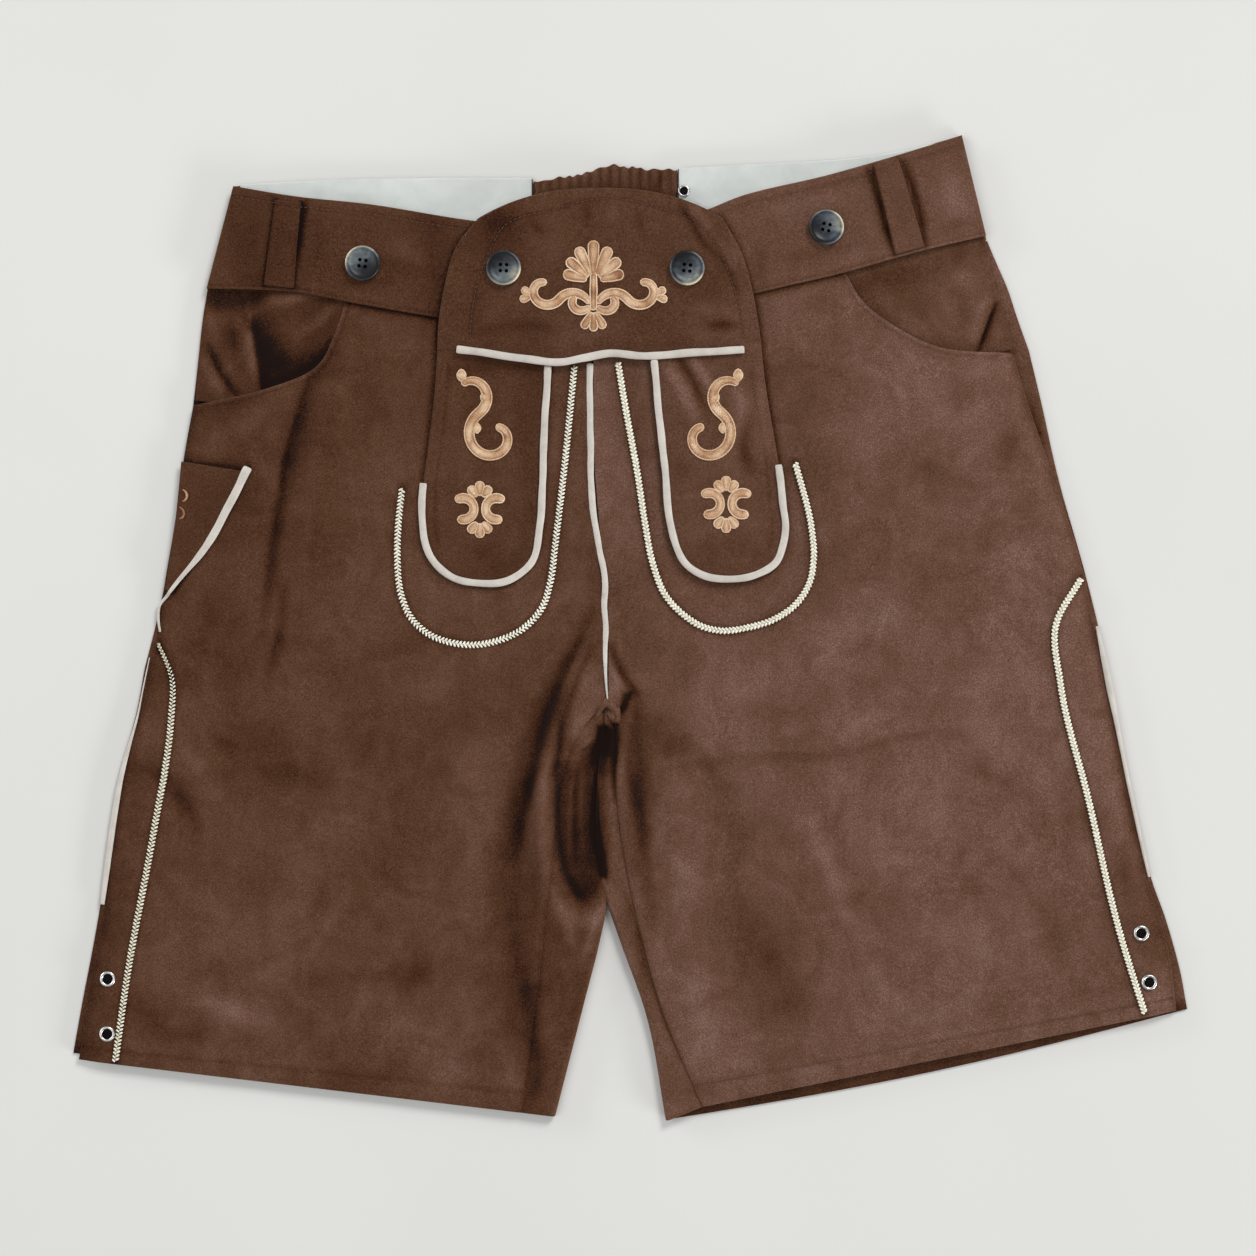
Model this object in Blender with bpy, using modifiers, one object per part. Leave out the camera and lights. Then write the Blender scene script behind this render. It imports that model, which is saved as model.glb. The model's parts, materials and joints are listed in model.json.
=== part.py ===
"""Lederhosen: short faux-suede breeches with a drop-front flap, lying flat, front up.

Metres, +Z up, +Y towards the waist, resting on z = 0, centred on X and Y.
"_r" is the wearer's right side (-X), "_l" the wearer's left side (+X).

Every cloth piece is a grid laid through cross sections, given a height, and
thickened with Solidify. The back panels lie on the ground, turn round the
inner leg and meet the front panels at the inseams. Everything sewn on a panel
is laid over the panel's own surface.
"""
import bpy
import bmesh
import math
from mathutils import Vector
from mathutils.bvhtree import BVHTree

MM = 0.001

# ---- driving sizes, millimetres -------------------------------------------
CLOTH = 1.3            # panel wall
BAND = 2.0             # waistband wall, a doubled cloth
FACING = 1.0           # white facing and pocket facing walls
YOKE = 1.5             # flap wall
GAP = 0.3              # clearance between neighbours
PIT_GAP = 2.3          # further clearance where four seams meet
CROTCH_ROW = 9         # the section through the crotch
POCKET_ROWS = 4        # sections down to the foot of the pocket scoop
SEAM_GAP = 0.6         # clearance along an inseam, whose two edges slope
ALLOWANCE_Z = 2.0      # middle of the turned seam allowance inside the seat
BACK_Z = CLOTH / 2     # middle of the back wall, lying on the ground
SEAM_Z = CLOTH + GAP + CLOTH / 2       # middle of the front wall at a side seam
FRONT_Z = 5.0          # middle of the front wall inside a leg
TUCK_Z = 3.55          # middle of the front wall under the waistband
BAND_Z = 5.5           # middle of the front waistband
YOKE_Z = 7.6           # middle of the flap's yoke
ROLL = 9.0             # reach of the soft roll at a side seam
BUTTON_D, BUTTON_H = 21.0, 3.2
EYELET_D, EYELET_BORE, EYELET_H = 9.2, 5.0, 1.4
PIPING_W, PIPING_H = 4.4, 1.5
BRAID_W, BRAID_H = 4.0, 1.0
BIB_FOOT = 2.7         # how full the round foot of a flap panel is
BACK_HEM_BOW = 5.0     # how far the wearer's left back hem hangs below a straight line

# ---- leg sections, millimetres ---------------------------------------------
# One row for each section across a leg, from the waist seam to the hem.
#  front_out: outer edge of the front panel (pocket scoop, then side seam)
#  front_in : its inner edge (centre seam, then inseam)
#  back_out : outer edge of the back panel
#  fold     : where the back cloth turns round the inner leg
#  out_z, mid_z: middle of the front wall at its outer edge and inside
#  turn     : 0 a seam allowance, 1 the turned cloth reaches the inseam
#  corner   : 1 where the edge has a sharp corner
LEG_COLUMNS = ("front_out_x", "front_out_y", "front_in_x", "front_in_y",
               "back_out_x", "back_out_y", "fold_x", "fold_y",
               "out_z", "mid_z", "turn", "corner")
LEG_R = [
    (-170.6, 198.4, -22.9, 172.8, -254.5, 202.8, -16.3, 205.8, 3.55, 3.55, 0, 0),
    (-177.8, 176.0, -22.9, 159.6, -257.5, 183.0, -16.3, 185.0, 4.6, 4.7, 0, 0),
    (-188.6, 156.6, -23.4, 146.4, -259.6, 163.0, -16.3, 163.0, 4.8, 5.0, 0, 0),
    (-220.4, 143.1, -23.6, 128.0, -261.5, 146.0, -16.3, 143.0, 4.2, 5.0, 0, 0),
    (-261.8, 133.8, -22.9, 109.2, -262.9, 133.2, -16.3, 125.0, 3.55, 5.0, 0, 1),
    (-266.6, 109.8, -21.8, 88.8, -267.6, 108.0, -16.3, 100.0, 2.6, 5.0, 0, 0),
    (-273.8, 61.8, -18.8, 52.8, -274.3, 61.0, -16.3, 58.0, 2.25, 5.0, 0, 0),
    (-280.3, 22.8, -14.8, 22.8, -280.9, 22.0, -16.3, 20.0, 2.25, 5.0, 0, 0),
    (-282.4, -0.6, -14.0, -13.2, -285.6, 1.0, -16.3, -5.0, 2.25, 5.0, 0, 0),
    (-288.6, -25.0, -13.9, -43.2, -292.0, -24.0, -16.3, -33.0, 2.25, 5.2, 0, 1),
    (-293.2, -49.2, -30.0, -62.4, -296.6, -49.2, -18.6, -57.0, 2.25, 5.0, 1, 0),
    (-303.2, -87.0, -42.1, -94.2, -306.8, -87.0, -20.8, -92.0, 2.25, 5.0, 1, 0),
    (-310.4, -130.8, -46.4, -133.2, -314.0, -130.8, -21.2, -133.8, 2.25, 5.0, 1, 0),
    (-315.4, -168.0, -50.5, -169.8, -319.0, -168.0, -14.9, -163.2, 2.25, 5.0, 1, 0),
    (-320.3, -192.0, -52.9, -196.0, -323.0, -191.0, -19.0, -190.0, 2.25, 5.0, 1, 0),
    (-325.7, -221.0, -57.1, -230.0, -328.6, -220.0, -26.6, -221.0, 2.4, 5.0, 1, 0),
    (-331.2, -259.2, -65.0, -291.0, -335.0, -255.6, -45.1, -293.4, 2.6, 4.8, 1, 0),
]
LEG_L = [
    (127.6, 216.0, -22.3, 177.6, 214.7, 232.8, -15.7, 205.8, 3.55, 3.55, 0, 0),
    (139.0, 196.8, -22.3, 161.0, 219.6, 221.0, -15.7, 185.0, 4.6, 4.7, 0, 0),
    (156.0, 183.0, -22.3, 147.0, 226.6, 205.0, -15.7, 166.0, 4.8, 5.0, 0, 0),
    (185.8, 168.6, -22.3, 131.0, 232.6, 187.0, -15.7, 146.0, 4.2, 5.0, 0, 0),
    (229.7, 165.0, -22.3, 112.0, 239.8, 166.8, -15.7, 128.0, 3.55, 5.0, 0, 1),
    (237.4, 139.8, -21.1, 90.0, 247.0, 136.8, -15.7, 100.0, 2.6, 5.0, 0, 0),
    (254.8, 88.8, -18.1, 55.8, 257.8, 88.8, -15.7, 58.0, 2.25, 5.0, 0, 0),
    (271.2, 37.8, -14.0, 22.8, 272.8, 36.0, -15.7, 20.0, 2.25, 5.0, 0, 0),
    (279.2, -3.0, -13.3, -13.2, 282.5, -3.0, -15.7, -5.0, 2.25, 5.0, 0, 0),
    (284.0, -27.0, -13.3, -43.2, 287.4, -27.0, -15.5, -33.0, 2.25, 5.2, 0, 1),
    (289.2, -52.2, -8.2, -64.2, 292.6, -52.2, -14.0, -57.0, 2.25, 5.0, 1, 0),
    (295.6, -85.2, -8.5, -97.2, 299.0, -85.2, -19.0, -92.0, 2.25, 5.0, 1, 0),
    (304.4, -126.0, -4.3, -133.2, 307.8, -126.0, -19.3, -133.8, 2.25, 5.0, 1, 0),
    (310.2, -151.2, 2.2, -168.0, 313.6, -151.2, -13.2, -161.4, 2.25, 5.0, 1, 0),
    (317.4, -172.0, 8.8, -195.0, 321.4, -173.0, -3.8, -187.2, 2.25, 5.0, 1, 0),
    (324.0, -197.0, 20.2, -234.0, 329.8, -202.2, 10.0, -234.0, 2.4, 5.0, 1, 0),
    (328.1, -229.8, 43.0, -287.4, 335.0, -229.2, 21.4, -296.0, 2.6, 4.8, 1, 0),
]

# ---- largest folds: reach across, height (+ ridge, - trough), line ------------
FOLD_COLUMNS = ("reach", "height", "line")
FOLDS = [
    (9.0, -1.6, [(-22, -2), (-42, -37), (-56, -75), (-63, -135), (-64, -175)]),
    (7.5, 3.6, [(-17, -20), (-35, -33), (-47, -58), (-54, -90), (-56, -130), (-52, -165)]),
    (8.0, -1.9, [(-24, -66), (-31, -100), (-34, -135), (-29, -160)]),
    (6.0, 2.0, [(-14, -38), (-15, -50)]),
    (7.0, 2.4, [(-12, -8), (-2, -36), (-3, -70), (2, -120), (12, -165)]),
    (7.0, -1.2, [(4, -40), (9, -90), (17, -140)]),
    (26.0, 1.8, [(-186, 150), (-184, 90), (-190, 20), (-196, -20)]),
    (16.0, -1.2, [(-212, 120), (-210, 60), (-206, 0)]),
    (22.0, 1.2, [(-255, -80), (-215, -120), (-170, -190)]),
    (24.0, 1.4, [(60, -60), (120, -82), (200, -70)]),
    (26.0, 1.2, [(150, 90), (160, 10), (150, -60)]),
]
POCKET_FOLDS = [
    (7.0, 1.6, [(-240, 184), (-236, 165), (-224, 150)]),
    (9.0, 1.4, [(-206, 190), (-200, 172)]),
]

# ---- flat pieces: sections from one end to the other ---------------------------
# a and b are the ends of a section, bow how far its middle stands out,
# z_a and z_b the middle of the wall at those ends.
PIECE_COLUMNS = ("a_x", "a_y", "b_x", "b_y", "bow", "z_a", "z_b")
YOKE_ROWS = [
    (-115.9, 167.5, 79.0, 167.0, -5.0, 7.45, 7.45),
    (-114.8, 184.2, 76.6, 184.2, -2.0, 7.6, 7.6),
    (-111.8, 202.8, 73.0, 202.8, 0.0, 7.6, 7.6),
    (-104.5, 228.0, 65.8, 226.8, 8.0, 7.6, 7.6),
    (-91.3, 245.4, 55.0, 246.0, 18.0, 7.6, 7.6),
]
BIB_R_ROWS = [
    (-115.9, 166.0, -49.4, 161.0, 0.0, 0, 0),
    (-117.8, 136.8, -50.4, 136.8, 0.0, 0, 0),
    (-120.8, 111.6, -51.7, 112.8, 0.0, 0, 0),
    (-124.0, 86.4, -52.7, 86.4, 0.0, 0, 0),
    (-124.9, 66.6, -53.6, 66.6, -1.0, 0, 0),
    (-123.2, 52.2, -55.2, 51.0, -4.5, 0, 0),
    (-118.6, 41.2, -60.0, 38.4, -13.2, 0, 0),
]
BIB_L_ROWS = [
    (79.0, 165.4, 14.2, 161.0, 0.0, 0, 0),
    (82.4, 136.8, 16.1, 139.8, 0.0, 0, 0),
    (86.0, 116.0, 17.8, 123.0, 0.0, 0, 0),
    (88.9, 97.8, 20.8, 96.0, 0.0, 0, 0),
    (91.6, 72.0, 22.6, 74.0, -1.0, 0, 0),
    (92.6, 54.0, 26.4, 52.8, -3.0, 0, 0),
    (87.5, 39.5, 34.0, 37.5, -9.0, 0, 0),
]
KNIFE_ROWS = [
    (-269.6, 100.0, -230.8, 93.8, 0.0, 0, 0),
    (-271.8, 76.8, -239.8, 74.2, 0.0, 0, 0),
    (-274.6, 52.8, -252.6, 51.4, 0.0, 0, 0),
    (-277.2, 36.0, -265.5, 34.2, 0.0, 0, 0),
    (-279.4, 23.0, -274.5, 21.5, 0.0, 0, 0),
]
BAND_R_ROWS = [
    (-238.3, 265.2, -254.3, 203.8, 0.0, 4.7, 4.7),
    (-198.2, 258.6, -201.8, 201.6, 0.0, 5.5, 5.5),
    (-157.9, 254.4, -163.0, 194.5, 0.0, 5.5, 5.5),
    (-102.1, 245.4, -114.8, 186.0, 0.0, 5.5, 5.5),
    (-23.2, 236.4, -23.2, 170.6, 0.0, 5.5, 5.5),
]
BAND_L_ROWS = [
    (-22.0, 236.0, -22.0, 175.4, 0.0, 5.5, 5.5),
    (45.4, 250.8, 42.0, 192.5, 0.0, 5.5, 5.5),
    (65.8, 258.9, 73.6, 200.4, 0.0, 5.5, 5.5),
    (118.0, 271.6, 127.6, 213.0, 0.0, 5.5, 5.5),
    (165.4, 285.2, 176.0, 226.5, 0.0, 5.5, 5.5),
    (199.0, 295.8, 213.6, 235.4, 0.0, 4.7, 4.7),
]
BACK_BAND_R_ROWS = [
    (-238.5, 265.6, -254.6, 203.4, 0.0, 1.0, 1.0),
    (-180.2, 268.8, -185.0, 204.5, 0.0, 1.0, 1.0),
    (-120.1, 270.0, -122.0, 205.3, 0.0, 1.0, 1.0),
    (-58.6, 270.0, -58.6, 206.1, 0.0, 1.0, 1.0),
]
BACK_BAND_L_ROWS = [
    (28.6, 276.0, 28.6, 212.0, 0.0, 1.0, 1.0),
    (65.8, 277.8, 72.0, 217.0, 0.0, 1.0, 1.0),
    (157.7, 285.3, 165.0, 227.9, 0.0, 1.0, 1.0),
    (199.2, 296.0, 214.2, 233.6, 0.0, 1.0, 1.0),
]
GUSSET_ROWS = [
    (-58.2, 268.2, -58.2, 206.4, 0.0, 1.0, 1.0),
    (-33.1, 272.4, -33.1, 206.6, 0.0, 1.0, 1.0),
    (-12.0, 278.0, -12.0, 207.0, 0.0, 1.0, 1.0),
    (6.0, 276.4, 6.0, 209.4, 0.0, 1.0, 1.0),
    (28.2, 275.0, 28.2, 212.0, 0.0, 1.0, 1.0),
]
FACING_R_ROWS = [
    (-234.0, 265.2, -238.5, 240.0, 0.0, 2.8, 2.8),
    (-180.2, 268.0, -182.0, 240.0, 0.0, 2.8, 2.8),
    (-120.1, 269.2, -121.0, 238.0, 0.0, 2.8, 2.8),
    (-59.2, 269.2, -59.2, 234.0, 0.0, 2.8, 2.8),
]
FACING_L_ROWS = [
    (29.2, 275.2, 29.2, 236.0, 0.0, 2.8, 2.8),
    (65.8, 277.0, 69.0, 244.0, 0.0, 2.8, 2.8),
    (157.6, 284.4, 162.0, 258.0, 0.0, 2.8, 2.8),
    (186.0, 290.6, 192.0, 266.0, 0.0, 2.8, 2.8),
]
POCKET_R_ROWS = [
    (-253.8, 202.2, -165.0, 199.0, 0.0, 2.1, 2.1),
    (-257.0, 180.0, -166.0, 167.0, 0.0, 2.1, 2.1),
    (-259.4, 158.0, -180.0, 142.0, 0.0, 2.1, 2.1),
    (-261.2, 136.6, -200.0, 129.0, 0.0, 2.1, 2.1),
]
POCKET_L_ROWS = [
    (207.8, 231.6, 112.0, 220.0, 0.0, 2.1, 2.1),
    (218.0, 210.0, 124.0, 190.0, 0.0, 2.1, 2.1),
    (225.6, 188.0, 140.0, 165.0, 0.0, 2.1, 2.1),
    (229.4, 167.4, 165.0, 150.0, 0.0, 2.1, 2.1),
]

# ---- trims: lines in plan, laid over their carriers -----------------------------
WELT = [(-104.5, 167.0), (-78.0, 163.6), (-40.0, 159.4), (-20.0, 163.0), (20.0, 164.4), (68.5, 167.0)]
CENTRE = [(-24.1, 156.4), (-22.3, 79.2), (-14.6, 26.4), (-15.6, 8.4), (-13.9, 0.0), (-15.8, -7.8), (-13.9, -42.0)]
KNIFE_EDGE = [(-229.3, 96.4), (-240.8, 72.6), (-253.9, 49.2), (-266.6, 33.4), (-277.2, 20.2)]
BRAID_BIB_R = [(-33.8, 155.6), (-39.3, 98.4), (-45.0, 50.4), (-48.2, 26.4), (-53.0, 12.0), (-63.8, 0.0), (-78.2, -7.2),
               (-93.0, -10.1), (-108.0, -8.6), (-121.0, -3.6), (-131.0, 5.4), (-137.2, 19.2), (-139.6, 40.0),
               (-139.4, 58.0), (-136.8, 84.0)]
BRAID_BIB_L = [(-7.2, 157.2), (-1.8, 126.0), (4.2, 93.6), (9.2, 60.6), (13.6, 38.4), (21.4, 19.2), (31.6, 8.2),
               (42.4, 1.2), (54.6, -1.6), (70.0, 0.2), (86.6, 5.4), (99.6, 14.6), (107.4, 27.0), (110.0, 43.2),
               (108.4, 61.2), (98.7, 99.6)]
BRAID_SIDE_R = [(-283.6, -9.0), (-274.9, -30.6), (-275.4, -54.0), (-286.3, -124.8), (-301.4, -207.0), (-309.0, -260.6)]
BRAID_SIDE_L = [(270.6, 29.8), (255.2, 2.0), (257.8, -33.0), (274.6, -102.6), (293.2, -181.8), (308.6, -231.6)]
LOOP_R = [(-205.0, 255.6), (-210.6, 204.6)]
LOOP_L = [(153.2, 279.4), (167.6, 226.2)]
LOOP_W, LOOP_H = 18.6, 1.4

BUTTONS = {"button_waist_r": (-160.3, 218.4), "button_waist_l": (117.4, 240.0),
           "button_bib_r": (-75.8, 215.4), "button_bib_l": (34.0, 215.4)}
EYELETS = {"eyelet_hem_r_upper": (-313.6, -210.6), "eyelet_hem_r_lower": (-313.9, -243.6),
           "eyelet_hem_l_upper": (306.4, -183.0), "eyelet_hem_l_lower": (311.2, -212.4)}
EYELET_BACK = (32.2, 262.4)


# ---- helpers ------------------------------------------------------------------
class Sections:
    """Smooth columns through a table of sections, with sharp corners kept."""

    def __init__(self, columns, rows, pairs):
        self.col = {name: [float(r[i]) for r in rows] for i, name in enumerate(columns)}
        self.n = len(rows)
        corner = self.col.get("corner", [0.0] * self.n)
        self.corner = [c > 0.5 for c in corner]
        self.at = [0.0]
        for k in range(1, self.n):
            step = sum(math.hypot(self.col[x][k] - self.col[x][k - 1],
                                  self.col[y][k] - self.col[y][k - 1]) for x, y in pairs)
            self.at.append(self.at[-1] + step / len(pairs))

    def slope(self, v, k, side):
        a = self.at
        fwd = (v[k + 1] - v[k]) / (a[k + 1] - a[k]) if k + 1 < self.n else None
        bwd = (v[k] - v[k - 1]) / (a[k] - a[k - 1]) if k > 0 else None
        if fwd is None:
            return bwd
        if bwd is None:
            return fwd
        if self.corner[k]:
            return fwd if side > 0 else bwd
        h0, h1 = a[k] - a[k - 1], a[k + 1] - a[k]
        return (fwd * h0 + bwd * h1) / (h0 + h1)

    def value(self, name, s):
        v, a = self.col[name], self.at
        s = min(max(s, 0.0), a[-1])
        k = 0
        while k < self.n - 2 and s > a[k + 1]:
            k += 1
        h = a[k + 1] - a[k]
        t = (s - a[k]) / h
        m0, m1 = self.slope(v, k, 1) * h, self.slope(v, k + 1, -1) * h
        return ((2 * t ** 3 - 3 * t ** 2 + 1) * v[k] + (t ** 3 - 2 * t ** 2 + t) * m0
                + (3 * t ** 2 - 2 * t ** 3) * v[k + 1] + (t ** 3 - t ** 2) * m1)

    def stations(self, step, fine_rows=0, fine_step=None):
        """Stations along the piece: every table row, and even steps between them."""
        out = [0.0]
        for k in range(1, self.n):
            span = self.at[k] - self.at[k - 1]
            parts = max(1, round(span / (fine_step if k <= fine_rows else step)))
            out += [self.at[k - 1] + span * (i + 1) / parts for i in range(parts)]
        return out


def along(line, s):
    """Point at fraction s of a smooth line through a few points."""
    rows = Sections(("x", "y"), line, (("x", "y"),))
    d = s * rows.at[-1]
    return rows.value("x", d), rows.value("y", d)


def length_of(line):
    return sum(math.dist(line[i], line[i + 1]) for i in range(len(line) - 1))


def fold_height(folds, x, y):
    total = 0.0
    for reach, height, line in folds:
        best, where, run = 1e9, 0.0, 0.0
        whole = length_of(line)
        for (x0, y0), (x1, y1) in zip(line, line[1:]):
            dx, dy = x1 - x0, y1 - y0
            seg = math.hypot(dx, dy)
            t = min(max(((x - x0) * dx + (y - y0) * dy) / (seg * seg), 0.0), 1.0)
            d = math.hypot(x - x0 - t * dx, y - y0 - t * dy)
            if d < best:
                best, where = d, (run + t * seg) / whole
            run += seg
        ends = min(1.0, 0.35 + 2.6 * min(where, 1 - where))
        total += height * ends * math.exp(-(best / reach) ** 2)
    return total


def spread(i, n, ease=0.07):
    u = i / n
    return u - ease * math.sin(2 * math.pi * u)


def material(name, colour, rough, metal=0.0):
    m = bpy.data.materials.new(name)
    m.use_nodes = True
    b = m.node_tree.nodes["Principled BSDF"]
    b.inputs["Base Color"].default_value = (*colour, 1.0)
    b.inputs["Roughness"].default_value = rough
    b.inputs["Metallic"].default_value = metal
    m.diffuse_color = (*colour, 1.0)
    return m


def add(name, mesh, mat):
    ob = bpy.data.objects.new(name, mesh)
    mesh.materials.append(mat)
    GARMENT.objects.link(ob)
    ob.parent = ROOT
    return ob


def sheet(name, columns, rows, place, wall, mat):
    """A grid of columns x rows, each point set by place(i, j), thickened to a wall."""
    bm = bmesh.new()
    bmesh.ops.create_grid(bm, x_segments=columns, y_segments=rows, size=0.5)
    for v in bm.verts:
        i, j = round((v.co.x + 0.5) * columns), round((v.co.y + 0.5) * rows)
        x, y, z = place(i, j)
        v.co = (x * MM, y * MM, z * MM)
    bm.normal_update()
    if sum(f.normal.z * f.calc_area() for f in bm.faces) < 0:
        bmesh.ops.reverse_faces(bm, faces=bm.faces)
    mesh = bpy.data.meshes.new(name)
    bm.to_mesh(mesh)
    bm.free()
    mesh.shade_smooth()
    ob = add(name, mesh, mat)
    thick = ob.modifiers.new("wall", "SOLIDIFY")
    thick.thickness = wall * MM
    thick.offset = 0.0
    return ob


def surface_of(*objects):
    """Trees of the finished surfaces, to lay trims on."""
    graph = bpy.context.evaluated_depsgraph_get()
    graph.update()
    trees = []
    for ob in objects:
        ev = ob.evaluated_get(graph)
        me = ev.to_mesh()
        me.calc_loop_triangles()
        mat = ob.matrix_world
        trees.append(BVHTree.FromPolygons([mat @ v.co for v in me.vertices],
                                          [tuple(t.vertices) for t in me.loop_triangles]))
        ev.to_mesh_clear()
    return trees


def top_at(trees, x, y, reach=0.0, low=None):
    """Highest carrier surface around a point in plan, millimetres."""
    best = low
    spots = [(0.0, 0.0)]
    if reach:
        spots += [(reach * math.cos(a * math.pi / 4), reach * math.sin(a * math.pi / 4)) for a in range(8)]
    for dx, dy in spots:
        for tree in trees:
            hit = tree.ray_cast(Vector(((x + dx) * MM, (y + dy) * MM, 0.1)), Vector((0, 0, -1)))
            if hit[0] is not None:
                z = hit[0].z / MM
                best = z if best is None or z > best else best
    return best


def ribbon(name, line, width, height, trees, mat, step=7.0, crown=0.35, lift=None, low=CLOTH):
    """A strip of cord or braid laid along a line over its carriers."""
    parts = max(2, round(length_of(line) / step))
    spots = [along(line, k / parts) for k in range(parts + 1)]

    def place(i, j):
        x, y = spots[j]
        x0, y0 = spots[max(j - 1, 0)]
        x1, y1 = spots[min(j + 1, parts)]
        n = math.hypot(x1 - x0, y1 - y0)
        side = (i - 1) * width / 2
        z = max(top_at(trees, x + (x1 - x0) * k, y + (y1 - y0) * k, width * 0.62, low) for k in (-0.25, 0, 0.25))
        z += GAP + 0.12 + height / 2 + (crown if i == 1 else 0.0)
        if lift:
            z += lift(j / parts)
        return x + side * (y1 - y0) / n, y - side * (x1 - x0) / n, z
    return sheet(name, 2, parts, place, height, mat)


# ---- scene -----------------------------------------------------------------------
for ob in list(bpy.data.objects):
    bpy.data.objects.remove(ob, do_unlink=True)
GARMENT = bpy.data.collections.new("lederhosen")
CUTTERS = bpy.data.collections.new("cutters")
bpy.context.scene.collection.children.link(GARMENT)
bpy.context.scene.collection.children.link(CUTTERS)
ROOT = bpy.data.objects.new("garment", None)
GARMENT.objects.link(ROOT)

suede = material("suede_brown", (0.115, 0.052, 0.033), 0.9)
suede_dark = material("suede_bib", (0.085, 0.036, 0.022), 0.9)
facing_cloth = material("facing_white", (0.72, 0.70, 0.66), 0.85)
piping_cloth = material("piping_pale", (0.62, 0.59, 0.54), 0.6)
braid_cloth = material("braid_cream", (0.80, 0.76, 0.66), 0.7)
horn = material("button_horn", (0.07, 0.08, 0.10), 0.3)
steel = material("eyelet_steel", (0.55, 0.55, 0.56), 0.3, 1.0)


# ---- legs ---------------------------------------------------------------------------
class Leg:
    """One leg: its front panel and its back panel, from the same sections."""
    PAIRS = (("front_out_x", "front_out_y"), ("front_in_x", "front_in_y"),
             ("back_out_x", "back_out_y"), ("fold_x", "fold_y"))

    def __init__(self, rows, hem_bow):
        self.s = Sections(LEG_COLUMNS, rows, self.PAIRS)
        self.hem_bow = hem_bow

    def point(self, which, s):
        return Vector((self.s.value(which + "_x", s), self.s.value(which + "_y", s)))

    def front_z(self, s, p):
        """Middle of the front wall at station s, plan point p."""
        mid, out = self.s.value("mid_z", s), self.s.value("out_z", s)
        d = (p - self.point("front_out", s)).length
        edge = math.exp(-(d / ROLL) ** 2)
        waist = 1.0 - math.exp(-(s / 25.0) ** 2)
        z = mid + (out - mid) * edge + fold_height(FOLDS, p.x, p.y) * (1 - edge) * waist
        return max(z, SEAM_Z)

    def front_point(self, s, u):
        p = self.point("front_out", s).lerp(self.point("front_in", s), u)
        return p.x, p.y, self.front_z(s, p)

    def back_point(self, s, c, flat, curl, tail):
        """Column c of the back: flat cloth, the turn round the inner leg, turned cloth."""
        out, fold = self.point("back_out", s), self.point("fold", s)
        seam = self.point("front_in", s)
        turn = min(max(self.s.value("turn", s), 0.0), 1.0)
        run = (fold - out).normalized()
        fold -= run * (CLOTH / 2)
        end_low = fold - run * 3.2
        line = (self.point("front_in", s + 1.5) - self.point("front_in", s - 1.5)).normalized()
        side = Vector((-line.y, line.x))
        if side.dot(fold - seam) < 0:
            side = -side
        pit = math.exp(-((s - self.s.at[CROTCH_ROW + 1] + 4.0) / 14.0) ** 2)
        end_high = seam + side * (SEAM_GAP + PIT_GAP * pit)
        end = end_low.lerp(end_high, min(1.0, 2.0 * turn))
        back = (end - fold)
        reach = min(2.2, back.length * 0.45)
        back.normalize()
        start = fold + back * reach
        rise = turn * turn
        top = ALLOWANCE_Z + (self.front_z(s, start) - ALLOWANCE_Z) * rise
        if c <= flat:
            u = spread(c, flat, 0.02)
            p = out.lerp(fold - run * reach, u)
            p.y -= self.hem_bow * math.sin(math.pi * u) * math.exp(-((self.s.at[-1] - s) / 20.0) ** 2)
            return p.x, p.y, BACK_Z
        if c <= flat + curl:
            a = -math.pi / 2 + math.pi * (c - flat) / curl
            way = run if a < 0 else -back
            p = fold - way * reach * (1 - math.cos(a)) if a < 0 else fold + back * reach * (1 - math.cos(a))
            mid = (BACK_Z + top) / 2
            return p.x, p.y, mid + (top - BACK_Z) / 2 * math.sin(a)
        t = (c - flat - curl) / tail
        p = start.lerp(end, t)
        z = ALLOWANCE_Z + (self.front_z(s, p) - ALLOWANCE_Z) * rise
        return p.x, p.y, z


legs = {"r": Leg(LEG_R, 0.0), "l": Leg(LEG_L, BACK_HEM_BOW)}
part = {}
for side, leg in legs.items():
    stations = leg.s.stations(21.0, POCKET_ROWS, 8.0)
    columns = 16
    part["front_" + side] = sheet(
        "front_" + side, columns, len(stations) - 1,
        lambda i, j: leg.front_point(stations[j], spread(i, columns)), CLOTH, suede)
    back_stations = [s for s in stations if s == 0.0 or s > leg.s.at[POCKET_ROWS] - 1.0]
    flat, curl, tail = 5, 4, 3
    part["back_" + side] = sheet(
        "back_" + side, flat + curl + tail, len(back_stations) - 1,
        lambda i, j: leg.back_point(back_stations[j], i, flat, curl, tail), CLOTH, suede)


# ---- flat pieces -----------------------------------------------------------------------
def piece(name, rows, wall, mat, columns, step, fullness=2.0, over=None, folds=None, reach=6.0, low=CLOTH):
    table = Sections(PIECE_COLUMNS, rows, (("a_x", "a_y"), ("b_x", "b_y")))
    stations = table.stations(step)

    def place(i, j):
        s, u = stations[j], i / columns
        a = Vector((table.value("a_x", s), table.value("a_y", s)))
        b = Vector((table.value("b_x", s), table.value("b_y", s)))
        p = a.lerp(b, u)
        run = (b - a).normalized()
        out = Vector((-run.y, run.x)) if run.x > 0 else Vector((run.y, -run.x))
        p += out * table.value("bow", s) * (1 - abs(2 * u - 1) ** fullness)
        z = table.value("z_a", s) * (1 - u) + table.value("z_b", s) * u
        if over is not None:
            z = top_at(over, p.x, p.y, reach, low) + GAP + 0.15 + wall / 2
        if folds is not None:
            fade = min(1.0, 4.0 * min(u, 1 - u)) * min(1.0, min(s, table.at[-1] - s) / 14.0)
            z += fade * max(0.0, fold_height(folds, p.x, p.y))
        return p.x, p.y, z
    part[name] = sheet(name, columns, len(stations) - 1, place, wall, mat)
    return part[name]


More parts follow.
